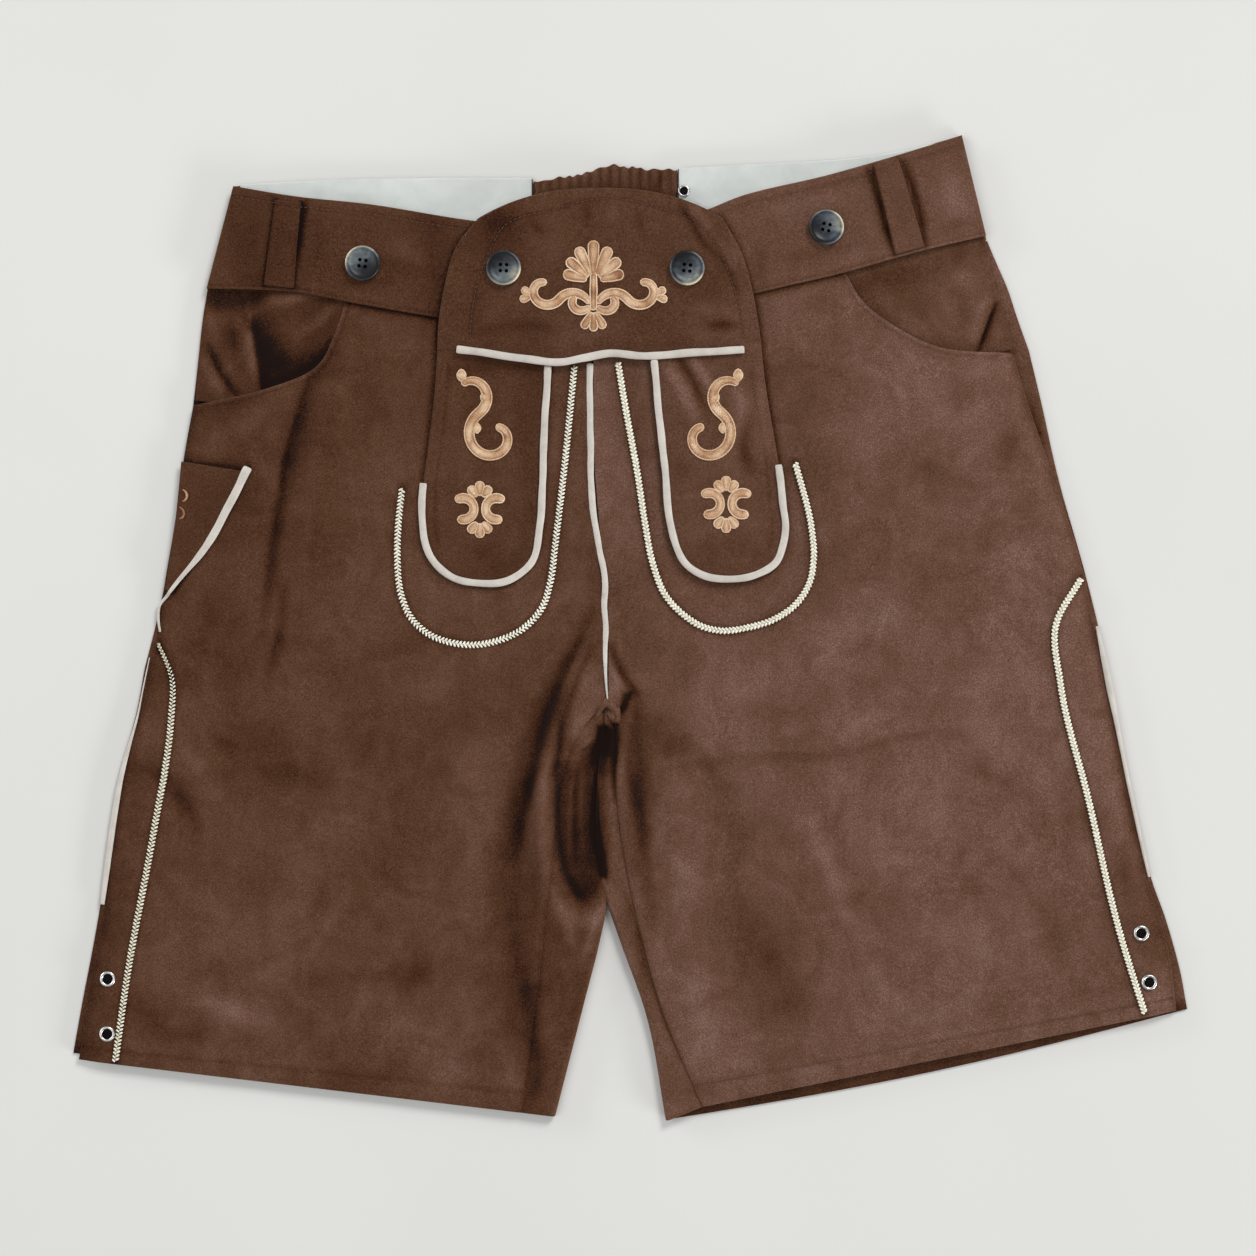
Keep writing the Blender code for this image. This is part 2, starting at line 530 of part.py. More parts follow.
piece("waistband_back_r", BACK_BAND_R_ROWS, BAND, suede, 2, 30.0)
piece("waistband_back_l", BACK_BAND_L_ROWS, BAND, suede, 2, 30.0)
piece("back_gusset", GUSSET_ROWS, BAND, suede, 2, 10.0)
piece("facing_r", FACING_R_ROWS, FACING, facing_cloth, 2, 30.0)
piece("facing_l", FACING_L_ROWS, FACING, facing_cloth, 2, 30.0)
piece("pocket_facing_r", POCKET_R_ROWS, FACING, suede, 8, 11.0, folds=POCKET_FOLDS)
piece("pocket_facing_l", POCKET_L_ROWS, FACING, suede, 4, 20.0)
piece("waistband_front_r", BAND_R_ROWS, BAND, suede, 2, 24.0)
piece("waistband_front_l", BAND_L_ROWS, BAND, suede, 2, 24.0)
piece("bib_yoke", YOKE_ROWS, YOKE, suede_dark, 12, 14.0, fullness=2.4)
fronts = surface_of(part["front_r"], part["front_l"])
piece("bib_panel_r", BIB_R_ROWS, YOKE, suede_dark, 6, 12.0, fullness=BIB_FOOT, over=fronts, reach=5.0)
piece("bib_panel_l", BIB_L_ROWS, YOKE, suede_dark, 6, 12.0, fullness=BIB_FOOT, over=fronts, reach=5.0)
piece("knife_pocket", KNIFE_ROWS, CLOTH, suede_dark, 4, 12.0, over=fronts, reach=4.0, low=SEAM_Z + CLOTH / 2)

# ---- trims --------------------------------------------------------------------------------
on_front = surface_of(part["front_r"], part["front_l"])
on_bib = surface_of(part["bib_yoke"], part["bib_panel_r"], part["bib_panel_l"])
on_knife = surface_of(part["knife_pocket"], part["front_r"])
on_band = surface_of(part["waistband_front_r"], part["waistband_front_l"], part["front_r"], part["front_l"],
                     part["pocket_facing_r"], part["pocket_facing_l"])


def bib_edge(rows, stop_y):
    """Edge of a flap panel: down the inner side, round the foot, up the outer side."""
    table = Sections(PIECE_COLUMNS, rows, (("a_x", "a_y"), ("b_x", "b_y")))
    end = table.at[-1]
    line = [(table.value("b_x", end * k / 5), table.value("b_y", end * k / 5)) for k in range(6)]
    line[0] = (line[0][0], line[0][1] - 6.5)
    a, b = Vector((table.col["a_x"][-1], table.col["a_y"][-1])), Vector((table.col["b_x"][-1], table.col["b_y"][-1]))
    for u in (0.22, 0.5, 0.78):
        p = b.lerp(a, u)
        line.append((p.x, p.y + table.col["bow"][-1] * (1 - abs(2 * u - 1) ** BIB_FOOT)))
    side = [(table.value("a_x", end - 12.0 * k), table.value("a_y", end - 12.0 * k)) for k in range(12)]
    line += [p for p in side if p[1] < stop_y]
    return line


ribbon("piping_welt", WELT, 5.0, PIPING_H, on_bib, piping_cloth)
ribbon("piping_bib_r", bib_edge(BIB_R_ROWS, 88.0), PIPING_W, PIPING_H, on_bib + on_front, piping_cloth)
ribbon("piping_bib_l", bib_edge(BIB_L_ROWS, 100.0), PIPING_W, PIPING_H, on_bib + on_front, piping_cloth)
ribbon("piping_centre", CENTRE, 3.4, PIPING_H, on_front, piping_cloth)
ribbon("piping_knife", KNIFE_EDGE, PIPING_W, PIPING_H, on_knife, piping_cloth)
ribbon("braid_bib_r", BRAID_BIB_R, BRAID_W, BRAID_H, on_front, braid_cloth)
ribbon("braid_bib_l", BRAID_BIB_L, BRAID_W, BRAID_H, on_front, braid_cloth)
ribbon("braid_side_r", BRAID_SIDE_R, BRAID_W, BRAID_H, on_front, braid_cloth, step=10.0)
ribbon("braid_side_l", BRAID_SIDE_L, BRAID_W, BRAID_H, on_front, braid_cloth, step=10.0)


def belly(t):
    return 1.2 * math.sin(math.pi * t)


ribbon("belt_loop_r", LOOP_R, LOOP_W, LOOP_H, on_band, suede, step=8.0, crown=0.1, lift=belly)
ribbon("belt_loop_l", LOOP_L, LOOP_W, LOOP_H, on_band, suede, step=8.0, crown=0.1, lift=belly)


def side_piping(name, leg, first, last):
    """Piping in the side seam: it lies on the back panel beside the front's edge."""
    s0, s1 = leg.s.at[first] + 6.0, leg.s.at[last] - 2.0
    line = []
    for k in range(9):
        s = s0 + (s1 - s0) * k / 8
        p = leg.point("front_out", s).lerp(leg.point("back_out", s), 0.5)
        line.append((p.x, p.y))
    parts = 14
    spots = [along(line, k / parts) for k in range(parts + 1)]

    def place(i, j):
        x, y = spots[j]
        x0, y0 = spots[max(j - 1, 0)]
        x1, y1 = spots[min(j + 1, parts)]
        n = math.hypot(x1 - x0, y1 - y0)
        side = (i - 1) * 0.9
        return (x + side * (y1 - y0) / n, y - side * (x1 - x0) / n,
                CLOTH + GAP + PIPING_H / 2 + (0.3 if i == 1 else 0.0))
    return sheet(name, 2, parts, place, PIPING_H, piping_cloth)


side_piping("piping_side_r", legs["r"], 8, 13)
side_piping("piping_side_l", legs["l"], 8, 13)


# ---- buttons and eyelets --------------------------------------------------------------------
def turned(name, profile, steps, mat, closed=False):
    """A profile (radius, height) in millimetres, turned about Z."""
    bm = bmesh.new()
    verts = [bm.verts.new((r * MM, 0.0, z * MM)) for r, z in profile]
    for a, b in zip(verts, verts[1:] + (verts[:1] if closed else [])):
        if a is not b:
            bm.edges.new((a, b))
    mesh = bpy.data.meshes.new(name)
    bm.to_mesh(mesh)
    bm.free()
    ob = add(name, mesh, mat)
    turn = ob.modifiers.new("turn", "SCREW")
    turn.axis = "Z"
    turn.steps = turn.render_steps = steps
    turn.use_merge_vertices = True
    turn.merge_threshold = 0.00005
    turn.use_normal_calculate = True
    turn.use_normal_flip = closed
    return ob


def button(name, place, z):
    r, h = BUTTON_D / 2, BUTTON_H
    ob = turned(name, [(0.0, h - 1.1), (r * 0.55, h - 1.0), (r * 0.74, h - 0.15), (r * 0.88, h),
                       (r, h * 0.62), (r * 0.8, 0.1), (0.0, 0.0)], 20, horn)
    for k in range(4):
        a = math.pi / 4 + k * math.pi / 2
        bm = bmesh.new()
        bmesh.ops.create_cone(bm, cap_ends=True, segments=8, radius1=1.0 * MM, radius2=1.0 * MM, depth=12 * MM)
        me = bpy.data.meshes.new(name + "_hole")
        bm.to_mesh(me)
        bm.free()
        hole = bpy.data.objects.new(f"cut_{name}_{k}", me)
        CUTTERS.objects.link(hole)
        hole.location = ((place[0] + 2.3 * math.cos(a)) * MM, (place[1] + 2.3 * math.sin(a)) * MM, z * MM)
        hole.hide_render = True
        hole.display_type = "WIRE"
        cut = ob.modifiers.new(f"hole_{k}", "BOOLEAN")
        cut.operation = "DIFFERENCE"
        cut.object = hole
    ob.location = (place[0] * MM, place[1] * MM, z * MM)
    part[name] = ob


def eyelet(name, place, z, size=1.0):
    r, b, h = EYELET_D / 2 * size, EYELET_BORE / 2 * size, EYELET_H
    ob = turned(name, [(r * 0.97, 0.45 * h), (r * 0.75, h), (b * 1.08, 0.85 * h), (b, 0.25 * h), (r * 0.62, 0.0), (r, 0.0)],
                16, steel, closed=True)
    ob.location = (place[0] * MM, place[1] * MM, z * MM)
    part[name] = ob


for name, place in BUTTONS.items():
    carrier = on_bib if "bib" in name else on_band
    button(name, place, top_at(carrier, place[0], place[1], BUTTON_D * 0.42) + GAP)
for name, place in EYELETS.items():
    eyelet(name, place, top_at(on_front, place[0], place[1], EYELET_D * 0.5) + GAP)
on_facing = surface_of(part["facing_l"])
eyelet("eyelet_back_l", EYELET_BACK, top_at(on_facing, *EYELET_BACK, 1.0) + GAP, 0.75)
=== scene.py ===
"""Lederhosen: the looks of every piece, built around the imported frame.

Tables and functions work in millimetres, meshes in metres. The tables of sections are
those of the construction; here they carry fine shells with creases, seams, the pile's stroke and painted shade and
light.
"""
import bpy
import json
import math
import numpy as np
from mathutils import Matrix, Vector
from mathutils.bvhtree import BVHTree

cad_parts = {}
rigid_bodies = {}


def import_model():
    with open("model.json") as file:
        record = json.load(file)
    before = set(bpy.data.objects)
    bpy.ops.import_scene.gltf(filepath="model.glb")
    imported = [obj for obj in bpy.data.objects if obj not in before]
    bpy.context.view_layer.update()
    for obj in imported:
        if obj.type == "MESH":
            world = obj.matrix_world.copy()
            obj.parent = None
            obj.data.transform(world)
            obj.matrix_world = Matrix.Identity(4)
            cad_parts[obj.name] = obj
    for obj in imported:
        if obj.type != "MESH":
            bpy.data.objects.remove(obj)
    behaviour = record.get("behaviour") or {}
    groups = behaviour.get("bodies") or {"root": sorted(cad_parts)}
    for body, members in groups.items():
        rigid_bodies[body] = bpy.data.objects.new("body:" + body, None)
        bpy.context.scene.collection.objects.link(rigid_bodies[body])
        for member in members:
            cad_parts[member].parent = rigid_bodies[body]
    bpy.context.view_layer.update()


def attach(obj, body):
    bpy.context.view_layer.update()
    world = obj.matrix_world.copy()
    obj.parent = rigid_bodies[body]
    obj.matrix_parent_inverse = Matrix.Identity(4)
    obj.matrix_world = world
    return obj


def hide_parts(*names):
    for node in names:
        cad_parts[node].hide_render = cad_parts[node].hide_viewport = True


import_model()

MM = 0.001
CLOTH, BAND, FACING, YOKE, GAP = 1.3, 2.0, 1.0, 1.5, 0.3
PIT_GAP, CROTCH_ROW, SEAM_GAP = 2.3, 9, 0.6
ALLOWANCE_Z, BACK_Z, SEAM_Z, ROLL = 2.0, 0.65, 2.25, 9.0
BIB_FOOT, BACK_HEM_BOW = 2.7, 5.0
BUTTON_D, BUTTON_H = 21.0, 3.2
EYELET_D, EYELET_BORE, EYELET_H = 9.2, 5.0, 1.4


def P(u, v):
    """Plan position in millimetres of a mark, counted in steps of 0.6 mm from the upper left."""
    return (u - 630.25) * 0.6, (628.0 - v) * 0.6


# ---- tables of sections ---------------------------------------------------------
LEG_COLUMNS = ("front_out_x", "front_out_y", "front_in_x", "front_in_y",
               "back_out_x", "back_out_y", "fold_x", "fold_y",
               "out_z", "mid_z", "turn", "corner")
LEG_R = [
    (-170.6, 198.4, -22.9, 172.8, -254.5, 202.8, -16.3, 205.8, 3.55, 3.55, 0, 0),
    (-177.8, 176.0, -22.9, 159.6, -257.5, 183.0, -16.3, 185.0, 4.6, 4.7, 0, 0),
    (-188.6, 156.6, -23.4, 146.4, -259.6, 163.0, -16.3, 163.0, 4.8, 5.0, 0, 0),
    (-220.4, 143.1, -23.6, 128.0, -261.5, 146.0, -16.3, 143.0, 4.2, 5.0, 0, 0),
    (-261.8, 133.8, -22.9, 109.2, -262.9, 133.2, -16.3, 125.0, 3.55, 5.0, 0, 1),
    (-266.6, 109.8, -21.8, 88.8, -267.6, 108.0, -16.3, 100.0, 2.6, 5.0, 0, 0),
    (-273.8, 61.8, -18.8, 52.8, -274.3, 61.0, -16.3, 58.0, 2.25, 5.0, 0, 0),
    (-280.3, 22.8, -14.8, 22.8, -280.9, 22.0, -16.3, 20.0, 2.25, 5.0, 0, 0),
    (-282.4, -0.6, -14.0, -13.2, -285.6, 1.0, -16.3, -5.0, 2.25, 5.0, 0, 0),
    (-288.6, -25.0, -13.9, -43.2, -292.0, -24.0, -16.3, -33.0, 2.25, 5.2, 0, 1),
    (-293.2, -49.2, -30.0, -62.4, -296.6, -49.2, -18.6, -57.0, 2.25, 5.0, 1, 0),
    (-303.2, -87.0, -42.1, -94.2, -306.8, -87.0, -20.8, -92.0, 2.25, 5.0, 1, 0),
    (-310.4, -130.8, -46.4, -133.2, -314.0, -130.8, -21.2, -133.8, 2.25, 5.0, 1, 0),
    (-315.4, -168.0, -50.5, -169.8, -319.0, -168.0, -14.9, -163.2, 2.25, 5.0, 1, 0),
    (-320.3, -192.0, -52.9, -196.0, -323.0, -191.0, -19.0, -190.0, 2.25, 5.0, 1, 0),
    (-325.7, -221.0, -57.1, -230.0, -328.6, -220.0, -26.6, -221.0, 2.4, 5.0, 1, 0),
    (-331.2, -259.2, -65.0, -291.0, -335.0, -255.6, -45.1, -293.4, 2.6, 4.8, 1, 0),
]
LEG_L = [
    (127.6, 216.0, -22.3, 177.6, 214.7, 232.8, -15.7, 205.8, 3.55, 3.55, 0, 0),
    (139.0, 196.8, -22.3, 161.0, 219.6, 221.0, -15.7, 185.0, 4.6, 4.7, 0, 0),
    (156.0, 183.0, -22.3, 147.0, 226.6, 205.0, -15.7, 166.0, 4.8, 5.0, 0, 0),
    (185.8, 168.6, -22.3, 131.0, 232.6, 187.0, -15.7, 146.0, 4.2, 5.0, 0, 0),
    (229.7, 165.0, -22.3, 112.0, 239.8, 166.8, -15.7, 128.0, 3.55, 5.0, 0, 1),
    (237.4, 139.8, -21.1, 90.0, 247.0, 136.8, -15.7, 100.0, 2.6, 5.0, 0, 0),
    (254.8, 88.8, -18.1, 55.8, 257.8, 88.8, -15.7, 58.0, 2.25, 5.0, 0, 0),
    (271.2, 37.8, -14.0, 22.8, 272.8, 36.0, -15.7, 20.0, 2.25, 5.0, 0, 0),
    (279.2, -3.0, -13.3, -13.2, 282.5, -3.0, -15.7, -5.0, 2.25, 5.0, 0, 0),
    (284.0, -27.0, -13.3, -43.2, 287.4, -27.0, -15.5, -33.0, 2.25, 5.2, 0, 1),
    (289.2, -52.2, -8.2, -64.2, 292.6, -52.2, -14.0, -57.0, 2.25, 5.0, 1, 0),
    (295.6, -85.2, -8.5, -97.2, 299.0, -85.2, -19.0, -92.0, 2.25, 5.0, 1, 0),
    (304.4, -126.0, -4.3, -133.2, 307.8, -126.0, -19.3, -133.8, 2.25, 5.0, 1, 0),
    (310.2, -151.2, 2.2, -168.0, 313.6, -151.2, -13.2, -161.4, 2.25, 5.0, 1, 0),
    (317.4, -172.0, 8.8, -195.0, 321.4, -173.0, -3.8, -187.2, 2.25, 5.0, 1, 0),
    (324.0, -197.0, 20.2, -234.0, 329.8, -202.2, 10.0, -234.0, 2.4, 5.0, 1, 0),
    (328.1, -229.8, 43.0, -287.4, 335.0, -229.2, 21.4, -296.0, 2.6, 4.8, 1, 0),
]

# ---- largest folds: reach across, height (+ ridge, - trough), line ------------
FOLD_COLUMNS = ("reach", "height", "line")
FOLDS = [
    (9.0, -1.6, [(-22, -2), (-42, -37), (-56, -75), (-63, -135), (-64, -175)]),
    (7.5, 3.6, [(-17, -20), (-35, -33), (-47, -58), (-54, -90), (-56, -130), (-52, -165)]),
    (8.0, -1.9, [(-24, -66), (-31, -100), (-34, -135), (-29, -160)]),
    (6.0, 2.0, [(-14, -38), (-15, -50)]),
    (7.0, 2.4, [(-12, -8), (-2, -36), (-3, -70), (2, -120), (12, -165)]),
    (7.0, -1.2, [(4, -40), (9, -90), (17, -140)]),
    (26.0, 1.8, [(-186, 150), (-184, 90), (-190, 20), (-196, -20)]),
    (16.0, -1.2, [(-212, 120), (-210, 60), (-206, 0)]),
    (22.0, 1.2, [(-255, -80), (-215, -120), (-170, -190)]),
    (24.0, 1.4, [(60, -60), (120, -82), (200, -70)]),
    (26.0, 1.2, [(150, 90), (160, 10), (150, -60)]),
]
POCKET_FOLDS = [
    (7.0, 1.6, [(-240, 184), (-236, 165), (-224, 150)]),
    (9.0, 1.4, [(-206, 190), (-200, 172)]),
]

# ---- flat pieces: sections from one end to the other ---------------------------
# a and b are the ends of a section, bow how far its middle stands out,
# z_a and z_b the middle of the wall at those ends.
PIECE_COLUMNS = ("a_x", "a_y", "b_x", "b_y", "bow", "z_a", "z_b")
YOKE_ROWS = [
    (-115.9, 167.5, 79.0, 167.0, -5.0, 7.45, 7.45),
    (-114.8, 184.2, 76.6, 184.2, -2.0, 7.6, 7.6),
    (-111.8, 202.8, 73.0, 202.8, 0.0, 7.6, 7.6),
    (-104.5, 228.0, 65.8, 226.8, 8.0, 7.6, 7.6),
    (-91.3, 245.4, 55.0, 246.0, 18.0, 7.6, 7.6),
]
BIB_R_ROWS = [
    (-115.9, 166.0, -49.4, 161.0, 0.0, 0, 0),
    (-117.8, 136.8, -50.4, 136.8, 0.0, 0, 0),
    (-120.8, 111.6, -51.7, 112.8, 0.0, 0, 0),
    (-124.0, 86.4, -52.7, 86.4, 0.0, 0, 0),
    (-124.9, 66.6, -53.6, 66.6, -1.0, 0, 0),
    (-123.2, 52.2, -55.2, 51.0, -4.5, 0, 0),
    (-118.6, 41.2, -60.0, 38.4, -13.2, 0, 0),
]
BIB_L_ROWS = [
    (79.0, 165.4, 14.2, 161.0, 0.0, 0, 0),
    (82.4, 136.8, 16.1, 139.8, 0.0, 0, 0),
    (86.0, 116.0, 17.8, 123.0, 0.0, 0, 0),
    (88.9, 97.8, 20.8, 96.0, 0.0, 0, 0),
    (91.6, 72.0, 22.6, 74.0, -1.0, 0, 0),
    (92.6, 54.0, 26.4, 52.8, -3.0, 0, 0),
    (87.5, 39.5, 34.0, 37.5, -9.0, 0, 0),
]
KNIFE_ROWS = [
    (-269.6, 100.0, -230.8, 93.8, 0.0, 0, 0),
    (-271.8, 76.8, -239.8, 74.2, 0.0, 0, 0),
    (-274.6, 52.8, -252.6, 51.4, 0.0, 0, 0),
    (-277.2, 36.0, -265.5, 34.2, 0.0, 0, 0),
    (-279.4, 23.0, -274.5, 21.5, 0.0, 0, 0),
]
BAND_R_ROWS = [
    (-238.3, 265.2, -254.3, 203.8, 0.0, 4.7, 4.7),
    (-198.2, 258.6, -201.8, 201.6, 0.0, 5.5, 5.5),
    (-157.9, 254.4, -163.0, 194.5, 0.0, 5.5, 5.5),
    (-102.1, 245.4, -114.8, 186.0, 0.0, 5.5, 5.5),
    (-23.2, 236.4, -23.2, 170.6, 0.0, 5.5, 5.5),
]
BAND_L_ROWS = [
    (-22.0, 236.0, -22.0, 175.4, 0.0, 5.5, 5.5),
    (45.4, 250.8, 42.0, 192.5, 0.0, 5.5, 5.5),
    (65.8, 258.9, 73.6, 200.4, 0.0, 5.5, 5.5),
    (118.0, 271.6, 127.6, 213.0, 0.0, 5.5, 5.5),
    (165.4, 285.2, 176.0, 226.5, 0.0, 5.5, 5.5),
    (199.0, 295.8, 213.6, 235.4, 0.0, 4.7, 4.7),
]
BACK_BAND_R_ROWS = [
    (-238.5, 265.6, -254.6, 203.4, 0.0, 1.0, 1.0),
    (-180.2, 268.8, -185.0, 204.5, 0.0, 1.0, 1.0),
    (-120.1, 270.0, -122.0, 205.3, 0.0, 1.0, 1.0),
    (-58.6, 270.0, -58.6, 206.1, 0.0, 1.0, 1.0),
]
BACK_BAND_L_ROWS = [
    (28.6, 276.0, 28.6, 212.0, 0.0, 1.0, 1.0),
    (65.8, 277.8, 72.0, 217.0, 0.0, 1.0, 1.0),
    (157.7, 285.3, 165.0, 227.9, 0.0, 1.0, 1.0),
    (199.2, 296.0, 214.2, 233.6, 0.0, 1.0, 1.0),
]
GUSSET_ROWS = [
    (-58.2, 268.2, -58.2, 206.4, 0.0, 1.0, 1.0),
    (-33.1, 272.4, -33.1, 206.6, 0.0, 1.0, 1.0),
    (-12.0, 278.0, -12.0, 207.0, 0.0, 1.0, 1.0),
    (6.0, 276.4, 6.0, 209.4, 0.0, 1.0, 1.0),
    (28.2, 275.0, 28.2, 212.0, 0.0, 1.0, 1.0),
]
FACING_R_ROWS = [
    (-234.0, 265.2, -238.5, 240.0, 0.0, 2.8, 2.8),
    (-180.2, 268.0, -182.0, 240.0, 0.0, 2.8, 2.8),
    (-120.1, 269.2, -121.0, 238.0, 0.0, 2.8, 2.8),
    (-59.2, 269.2, -59.2, 234.0, 0.0, 2.8, 2.8),
]
FACING_L_ROWS = [
    (29.2, 275.2, 29.2, 236.0, 0.0, 2.8, 2.8),
    (65.8, 277.0, 69.0, 244.0, 0.0, 2.8, 2.8),
    (157.6, 284.4, 162.0, 258.0, 0.0, 2.8, 2.8),
    (186.0, 290.6, 192.0, 266.0, 0.0, 2.8, 2.8),
]
POCKET_R_ROWS = [
    (-253.8, 202.2, -165.0, 199.0, 0.0, 2.1, 2.1),
    (-257.0, 180.0, -166.0, 167.0, 0.0, 2.1, 2.1),
    (-259.4, 158.0, -180.0, 142.0, 0.0, 2.1, 2.1),
    (-261.2, 136.6, -200.0, 129.0, 0.0, 2.1, 2.1),
]
POCKET_L_ROWS = [
    (207.8, 231.6, 112.0, 220.0, 0.0, 2.1, 2.1),
    (218.0, 210.0, 124.0, 190.0, 0.0, 2.1, 2.1),
    (225.6, 188.0, 140.0, 165.0, 0.0, 2.1, 2.1),
    (229.4, 167.4, 165.0, 150.0, 0.0, 2.1, 2.1),
]

# ---- trims: lines in plan, laid over their carriers -----------------------------
WELT = [(-104.5, 167.0), (-78.0, 163.6), (-40.0, 159.4), (-20.0, 163.0), (20.0, 164.4), (68.5, 167.0)]
CENTRE = [(-24.1, 156.4), (-22.3, 79.2), (-14.6, 26.4), (-15.6, 8.4), (-13.9, 0.0), (-15.8, -7.8), (-13.9, -42.0)]
KNIFE_EDGE = [(-229.3, 96.4), (-240.8, 72.6), (-253.9, 49.2), (-266.6, 33.4), (-277.2, 20.2)]
BRAID_BIB_R = [(-33.8, 155.6), (-39.3, 98.4), (-45.0, 50.4), (-48.2, 26.4), (-53.0, 12.0), (-63.8, 0.0), (-78.2, -7.2),
               (-93.0, -10.1), (-108.0, -8.6), (-121.0, -3.6), (-131.0, 5.4), (-137.2, 19.2), (-139.6, 40.0),
               (-139.4, 58.0), (-136.8, 84.0)]
BRAID_BIB_L = [(-7.2, 157.2), (-1.8, 126.0), (4.2, 93.6), (9.2, 60.6), (13.6, 38.4), (21.4, 19.2), (31.6, 8.2),
               (42.4, 1.2), (54.6, -1.6), (70.0, 0.2), (86.6, 5.4), (99.6, 14.6), (107.4, 27.0), (110.0, 43.2),
               (108.4, 61.2), (98.7, 99.6)]
BRAID_SIDE_R = [(-283.6, -9.0), (-274.9, -30.6), (-275.4, -54.0), (-286.3, -124.8), (-301.4, -207.0), (-309.0, -260.6)]
BRAID_SIDE_L = [(270.6, 29.8), (255.2, 2.0), (257.8, -33.0), (274.6, -102.6), (293.2, -181.8), (308.6, -231.6)]
LOOP_R = [(-205.0, 255.6), (-210.6, 204.6)]
LOOP_L = [(153.2, 279.4), (167.6, 226.2)]
LOOP_W, LOOP_H = 18.6, 1.4

BUTTONS = {"button_waist_r": (-160.3, 218.4), "button_waist_l": (117.4, 240.0),
           "button_bib_r": (-75.8, 215.4), "button_bib_l": (34.0, 215.4)}
EYELETS = {"eyelet_hem_r_upper": (-313.6, -210.6), "eyelet_hem_r_lower": (-313.9, -243.6),
           "eyelet_hem_l_upper": (306.4, -183.0), "eyelet_hem_l_lower": (311.2, -212.4)}
EYELET_BACK = (32.2, 262.4)


# ---- smooth tables and lines ------------------------------------------------------
class Sections:
    """Smooth columns through a table of sections, with sharp corners kept."""

    def __init__(self, columns, rows, pairs):
        self.v = {name: np.array([float(r[i]) for r in rows]) for i, name in enumerate(columns)}
        self.n = len(rows)
        corner = self.v.get("corner", np.zeros(self.n)) > 0.5
        step = np.mean([np.hypot(np.diff(self.v[x]), np.diff(self.v[y])) for x, y in pairs], axis=0)
        self.at = np.concatenate([[0.0], np.cumsum(step)])
        self.fwd, self.bwd = {}, {}
        for name, v in self.v.items():
            f = np.diff(v) / step
            right, left = np.append(f, f[-1]), np.append(f[0], f)
            h0, h1 = np.append(step[0], step), np.append(step, step[-1])
            mean = (right * h0 + left * h1) / (h0 + h1)
            mean[0], mean[-1] = f[0], f[-1]
            self.fwd[name] = np.where(corner, right, mean)
            self.bwd[name] = np.where(corner, left, mean)

    def value(self, name, s):
        v, a = self.v[name], self.at
        s = np.clip(np.asarray(s, float), 0.0, a[-1])
        k = np.clip(np.searchsorted(a, s, side="left") - 1, 0, self.n - 2)
        h = a[k + 1] - a[k]
        t = (s - a[k]) / h
        m0, m1 = self.fwd[name][k] * h, self.bwd[name][k + 1] * h
        return ((2 * t ** 3 - 3 * t ** 2 + 1) * v[k] + (t ** 3 - 2 * t ** 2 + t) * m0
                + (3 * t ** 2 - 2 * t ** 3) * v[k + 1] + (t ** 3 - t ** 2) * m1)

    def stations(self, step):
        """Even steps along the piece, with every table row among them."""
        out = [0.0]
        for k in range(1, self.n):
            span = self.at[k] - self.at[k - 1]
            parts = max(1, round(span / step))
            out += [self.at[k - 1] + span * (i + 1) / parts for i in range(parts)]
        return np.array(out)


def length_of(line):
    p = np.asarray(line, float)
    return float(np.hypot(*np.diff(p, axis=0).T).sum())


def smooth(line, step):
    """Points about step apart on a smooth line through a few points."""
    if len(line) == 2:
        a, b = np.array(line, float)
        n = max(1, math.ceil(length_of(line) / step))
        return a + (b - a) * np.linspace(0, 1, n + 1)[:, None]
    rows = Sections(("x", "y"), line, (("x", "y"),))
    n = max(2, math.ceil(rows.at[-1] / step))
    d = np.linspace(0, rows.at[-1], n + 1)
    return np.stack([rows.value("x", d), rows.value("y", d)], axis=-1)


def even(points, step):
    """The same line with its points evenly spaced."""
    p = np.asarray(points, float)
    run = np.concatenate([[0.0], np.cumsum(np.linalg.norm(np.diff(p, axis=0), axis=1))])
    n = max(2, round(run[-1] / step))
    d = np.linspace(0, run[-1], n + 1)
    return np.stack([np.interp(d, run, p[:, k]) for k in range(p.shape[1])], axis=-1)


def near(line, x, y):
    """Distance from a line, how far along it (0 to 1), and the signed offset, + on its left."""
    p = np.asarray(line, float)
    seg = np.hypot(*np.diff(p, axis=0).T)
    whole = seg.sum()
    best, where, off = np.full(x.shape, 1e9), np.zeros(x.shape), np.zeros(x.shape)
    run = 0.0
    for k in range(len(p) - 1):
        dx, dy = p[k + 1] - p[k]
        L = max(seg[k], 1e-9)
        t = np.clip(((x - p[k, 0]) * dx + (y - p[k, 1]) * dy) / (L * L), 0, 1)
        ex, ey = x - p[k, 0] - t * dx, y - p[k, 1] - t * dy
        d = np.hypot(ex, ey)
        m = d < best
        best = np.where(m, d, best)
        where = np.where(m, (run + t * L) / whole, where)
        off = np.where(m, (dx * ey - dy * ex) / L, off)
        run += seg[k]
    return best, where, off


def fold_height(folds, x, y):
    """The construction's largest folds."""
    total = np.zeros(x.shape)
    for reach, height, line in folds:
        d, w, _ = near(line, x, y)
        total += height * np.minimum(1.0, 0.35 + 2.6 * np.minimum(w, 1 - w)) * np.exp(-(d / reach) ** 2)
    return total


